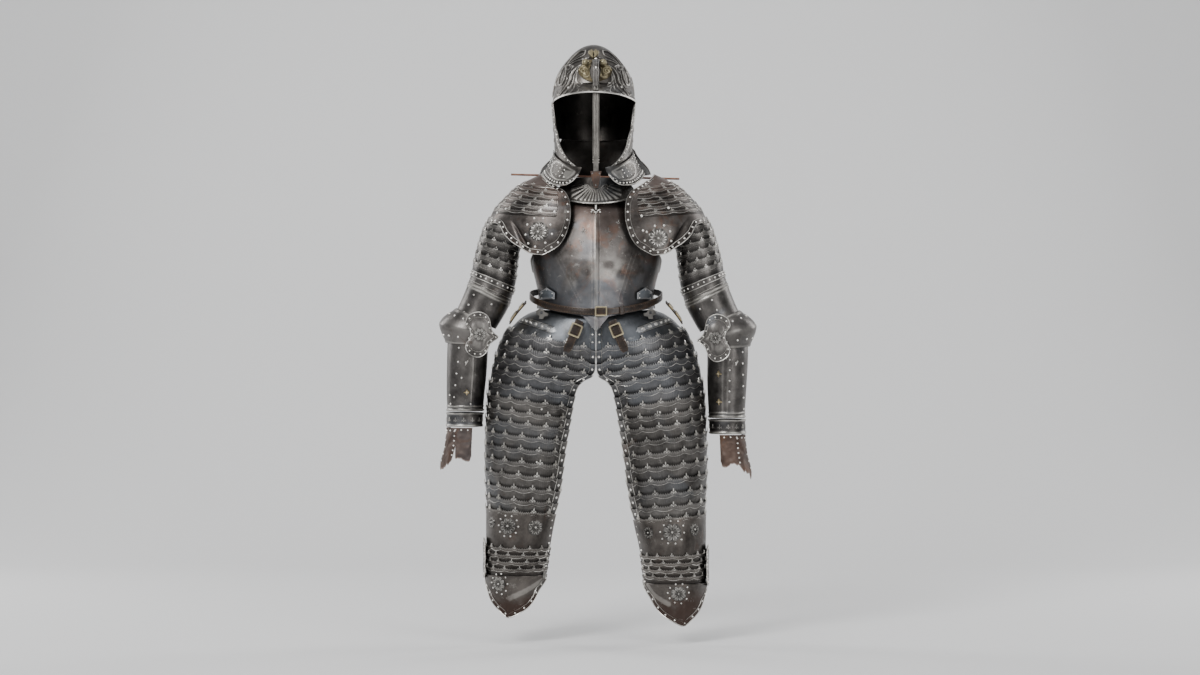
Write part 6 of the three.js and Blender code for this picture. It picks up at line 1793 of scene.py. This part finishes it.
    # ---- poleyn: pointed plate with a studded rim, and its side wing
    def pol_f(u, v, side=side):
        t = np.clip(np.asarray(u, float), 0, 1)
        z = lerp(-952.0, tip(t)["end"], np.asarray(v, float))
        return leg_f(u, z, side=side)
    po = Surf(pol_f, leg_place(vec(-180, 20, -1000), side))
    acc = Acc()
    pq = trace(po, [front(*q) for q in (((541, 580), (526, 590), (510, 598)) if side < 0 else ((648, 583), (656, 595), (669, 604)))], (0.3, 0.4), (0.05, 0.12), 40)
    pqP = dense(po.f(pq[:, 0], pq[:, 1]), 2)
    pd = lambda u, v, P: 1.6 * np.exp(-(((u - 0.46) * 190) / 5.0) ** 2) * smooth((v - 0.25) / 0.3) + 1.2 * np.exp(-((v - 0.03) / 0.02) ** 2)
    plate(acc, po, np.linspace(0, 1, 130), np.linspace(0, 1, 44), off=3.6, thick=1.8, disp=pd,
          vmap=lambda U, W: W, wear=lambda u, v, P: np.where(v > 0.97, 0.7, 0.42 * smooth((7.5 - dist_to(P, pqP)) / 2.5) - 0.1))
    emit(acc, f"leg_{nm}_poleyn_plate", M["knee"], [f"poleyn_{nm}"], smooth_angle=50)
    rim = np.stack([np.linspace(0, 1, 160), np.full(160, 0.995)], -1)
    for d, w in ((1.2, 2.2), (10.5, 0.9)):
        q = po.inset(rim, d, (0.45, 0.4)); q = q[(q[:, 0] > 0.0) & (q[:, 0] < 1.0)]
        P, N = po.frame(q[:, 0], q[:, 1]); strip(orn, P + N * 3.7, N, w, 1.3, wear=0.95)
    q = po.inset(rim, 6.2, (0.45, 0.4)); stud_row(stud, po, q[(q[:, 0] > 0.02) & (q[:, 0] < 0.98)], 14, 2.6, 3.6, raw=True)
    uv = locate(po, *(front(499.8, 583.6) if side < 0 else front(678.4, 593.5)), (0.42, 0.42), (0.05, 0.12))
    P, N = po.frame(uv[:1], uv[1:])
    rosette(orn, [], P + N * 4.0, N, [0, 0, 1.0], 19, 8, tone=-0.05)
    ring_of_studs(stud, po, uv, 24, 10, 2.3, 3.6, reach=(0.05, 0.12))
    # small scalloped end on the inner side of the knee
    uv = locate(po, *(front(543.0, 572.6) if side < 0 else front(642.6, 575)), (0.1, 0.15), (0.05, 0.12)); uv = np.clip(uv, 0.03, 0.9)
    P, N = po.frame(uv[:1], uv[1:])
    blob(orn, P + N * 3.8, N, [0, 0, 1.0], np.array([[5.5 * (1 + 0.16 * math.cos(6 * x)) * math.cos(x), 9 * (1 + 0.16 * math.cos(6 * x)) * math.sin(x)] for x in np.linspace(0, 2 * np.pi, 37)[:-1]]), 2.6, 0.4)

    F2 = np.concatenate([np.array([[-46, -868]]), [[-57, -881], [-56, -890], [-54, -898]], [[-60, -907], [-61, -916], [-54, -932]], [[-56, -944], [-51, -953], [-40, -958]],
                         [[-20, -962], [5, -961], [30, -948]], [[38, -930], [40, -912], [30, -880]], [[14, -870], [-10, -866], [-30, -866.5]]])

    def fan_f(u, v, side=side):
        t = (np.asarray(u, float) % 1.0) * len(F2)
        i = np.floor(t).astype(int) % len(F2); j = (i + 1) % len(F2); fr = t - np.floor(t)
        y = lerp(-12.0, lerp(F2[i, 0], F2[j, 0], fr), v); z = lerp(-913.0, lerp(F2[i, 1], F2[j, 1], fr), v)
        return leg_place(vec(-270.3 + 0.12 * np.maximum(-12 - y, 0), y, z), side)
    fn = Surf(fan_f, leg_place(vec(-180, -12, -913), side), vr=(0.3, 0.9))
    acc = Acc()
    flut = lambda u, v: 0.8 * np.abs(np.cos(np.pi * 9 * u)) * smooth((v - 0.25) / 0.1) * smooth((0.8 - v) / 0.05)
    plate(acc, fn, np.linspace(0, 1, 121)[:-1], np.linspace(0.04, 1, 22), thick=2.0, closed=True, disp=lambda u, v, P: flut(u, v), wear=lambda u, v, P: np.where(v > 0.95, 0.9, flut(u, v) * 0.5))
    # painted light: the whole wing, its shaded inner face too, is lifted towards the lighter worn colour
    acc.w[-1] = np.maximum(acc.w[-1], 0.3)
    emit(acc, f"leg_{nm}_knee_wing", M["steel"], [f"poleyn_wing_{nm}"], smooth_angle=50)
    uu = np.linspace(0, 1, 101)[:-1]; P, N = fn.frame(uu, np.full(100, 0.96)); tube(orn, fn.f(uu, np.full(100, 0.985)) - N * 1.0, 1.4, seg=8, wear=1.0, closed=True)
    u = np.linspace(0, 1, 19)[:-1]; add_studs(stud, fn, u, np.full(18, 0.86), 2.3, 0)

    emit(orn, f"leg_{nm}_lines", M["line"])
    emit(stud, f"leg_{nm}_studs", M["rivet"])

    # ---- straps, buckles and gilt mounts at the hips
    mir = mirrored(side)
    dirs = lambda t: unit(np.stack([strap_path(np.minimum(1, t + 0.05))["x"] - strap_path(np.maximum(0, t - 0.05))["x"],
                                    strap_path(np.minimum(1, t + 0.05))["z"] - strap_path(np.maximum(0, t - 0.05))["z"]], -1))

    def strap_f(u, v, mir=mir):
        v = np.asarray(v, float); s = strap_path(np.clip(v, 0, 1)); d = dirs(np.clip(v, 0, 1))
        k = (2 * np.asarray(u, float) - 1) * 9.5 * np.where(v > 0.9, 1 - 3.5 * np.clip(v - 0.9, 0, 1), 1)
        x = s["x"] - d[..., 1] * k; z = s["z"] + d[..., 0] * k
        return vec(x, hip_surface(np.minimum(-6, s["x"]), s["z"]) - s["off"], z) * mir
    st = Surf(strap_f, np.array([0, 0, -380.0]))
    acc = Acc()
    plate(acc, st, np.linspace(0, 1, 17), np.linspace(0, 1, 50), thick=3.0, disp=lambda u, v, P: 0.3 * noise2(u * 4, v * 18, 3) - 0.5 * np.exp(-((np.minimum(u, 1 - u) - 0.15) / 0.04) ** 2),
          wear=lambda u, v, P: np.where(np.minimum(u, 1 - u) < 0.07, 0.9, 0))
    emit(acc, f"hip_strap_{nm}_leather", M["leather"], [f"hip_strap_{nm}"])
    for uu_ in (0.15, 0.85):
        v = (np.arange(14) + 0.5) / 15
        P, N = st.frame(np.full(14, uu_), v); Q = st.f(np.full(14, uu_), v + 0.01)
        blob(thread, P - N * 0.4, N, Q - P, lens(0.7, 3.4, 0, -1.7, n=6), 0.5, 0.3, sink=0.3)
    acc = Acc()
    c = strap_path(0.36); d = dirs(np.array([0.36]))[0]
    turn = math.atan2(d[0], -d[1])
    y0 = float(hip_surface(float(c["x"]), float(c["z"]))) - float(c["off"]) - 2.6
    place = lambda x, z, o: np.array([float(c["x"]) + x * math.cos(turn) + z * -math.sin(turn) * -1 * -1, y0 - o, float(c["z"]) + z * math.cos(turn) + x * math.sin(turn)]) * mir
    frame_loop(acc, place, 28, 31, 4.0, 3.6, wear=0.9)
    emit(acc, f"hip_buckle_{nm}_brass", M["brass"], [f"hip_buckle_{nm}"], smooth_angle=35)

    def side_f(u, v, mir=mir):
        t = np.asarray(v, float); k = (2 * np.asarray(u, float) - 1)
        return vec(lerp(-168.0, -207.0, t) - 2 * np.sin(np.pi * t), -46 + k * 9 + 6 * t, lerp(-302.0, -352.0, t) + k * 3) * mir
    sd = Surf(side_f, np.array([0, -30, -340.0]))
    acc = Acc()
    plate(acc, sd, np.linspace(0, 1, 13), np.linspace(0, 1, 30), thick=3.0, disp=lambda u, v, P: 0.25 * noise2(u * 4, v * 12, 4), wear=lambda u, v, P: np.where(np.minimum(u, 1 - u) < 0.08, 0.9, 0))
    emit(acc, f"side_strap_{nm}_leather", M["leather"], [f"side_strap_{nm}"])
    acc = Acc()
    for (v0, v1) in ((0.12, 0.34), (0.5, 0.86)):      # gilt bars across the strap
        g = [[sd.at(np.array(a), np.array(b), np.array(2.2))[()] for a in (-0.08, 0.5, 1.08)] for b in np.linspace(v0, v1, 4)]
        g = np.array(g).reshape(4, 3, 3); g2 = np.array([[sd.at(np.array(a), np.array(b), np.array(0.2))[()] for a in (-0.08, 0.5, 1.08)] for b in np.linspace(v0, v1, 4)]).reshape(4, 3, 3)
        wall(acc, g, g2, 0.6)
    emit(acc, f"side_strap_{nm}_mounts", M["brass"])

emit(torso_orn, "torso_lines", M["line"])
emit(torso_stud, "torso_studs", M["rivet"])
emit(thread, "strap_stitches", M["thread"])

# ================================================================== stage, light and camera
def area(name, loc, target, size, power, size_y=None, colour=(1, 1, 1)):
    l = bpy.data.lights.new(name, "AREA")
    l.shape = "RECTANGLE"
    l.size, l.size_y = size, size_y or size
    l.energy = power
    l.color = colour
    o = bpy.data.objects.new(name, l)
    o.location = loc
    o.rotation_euler = (Vector(target) - Vector(loc)).to_track_quat("-Z", "Y").to_euler()
    bpy.context.scene.collection.objects.link(o)
    return o


def backdrop():
    """floor sweeping up into a wall behind"""
    z0 = -1.115
    prof = [(-9.0, z0), (2.2, z0)] + [(2.2 + 1.2 * math.sin(t), z0 + 1.2 * (1 - math.cos(t))) for t in np.linspace(0.1, math.pi / 2, 12)] + [(3.4, 6.0)]
    verts, faces = [], []
    for y, z in prof:
        verts += [(-9.0, y, z), (9.0, y, z)]
    for i in range(len(prof) - 1):
        faces.append((2 * i, 2 * i + 1, 2 * i + 3, 2 * i + 2))
    me = bpy.data.meshes.new("studio")
    me.from_pydata(verts, [], faces)
    me.polygons.foreach_set("use_smooth", [True] * len(faces))
    o = bpy.data.objects.new("studio", me)
    bpy.context.scene.collection.objects.link(o)
    m, nt, b = nodes_of("studio_paper")
    b.inputs["Base Color"].default_value = (0.80, 0.80, 0.80, 1)
    b.inputs["Roughness"].default_value = 0.9
    me.materials.append(m)
    return o


backdrop()
area("key", (-2.4, -4.4, 2.4), (0, 0, -0.35), 1.5, 210, 2.4)
area("fill", (3.0, -4.2, 0.4), (0, 0, -0.4), 1.6, 70, 2.8)
area("top", (0.0, -0.4, 3.4), (0, 0, -0.2), 3.0, 60)
area("rim_left", (-2.8, 1.6, 0.8), (0, 0, -0.3), 1.0, 45, 2.6)
area("rim_right", (2.8, 1.6, 0.8), (0, 0, -0.3), 1.0, 45, 2.6)
world = bpy.data.worlds.new("studio_world")
bpy.context.scene.world = world
world.use_nodes = True
bg = world.node_tree.nodes.get("Background") or world.node_tree.nodes.new("ShaderNodeBackground")
bg.inputs["Color"].default_value = (0.92, 0.93, 0.95, 1)
bg.inputs["Strength"].default_value = 0.32

cam_data = bpy.data.cameras.new("camera")
cam_data.lens = 87.5
cam_data.sensor_width = 36
cam = bpy.data.objects.new("camera", cam_data)
cam.location = (0.0096, -7.03, -0.3876)
cam.rotation_euler = (math.radians(90), 0, 0)
bpy.context.scene.collection.objects.link(cam)
bpy.context.scene.camera = cam
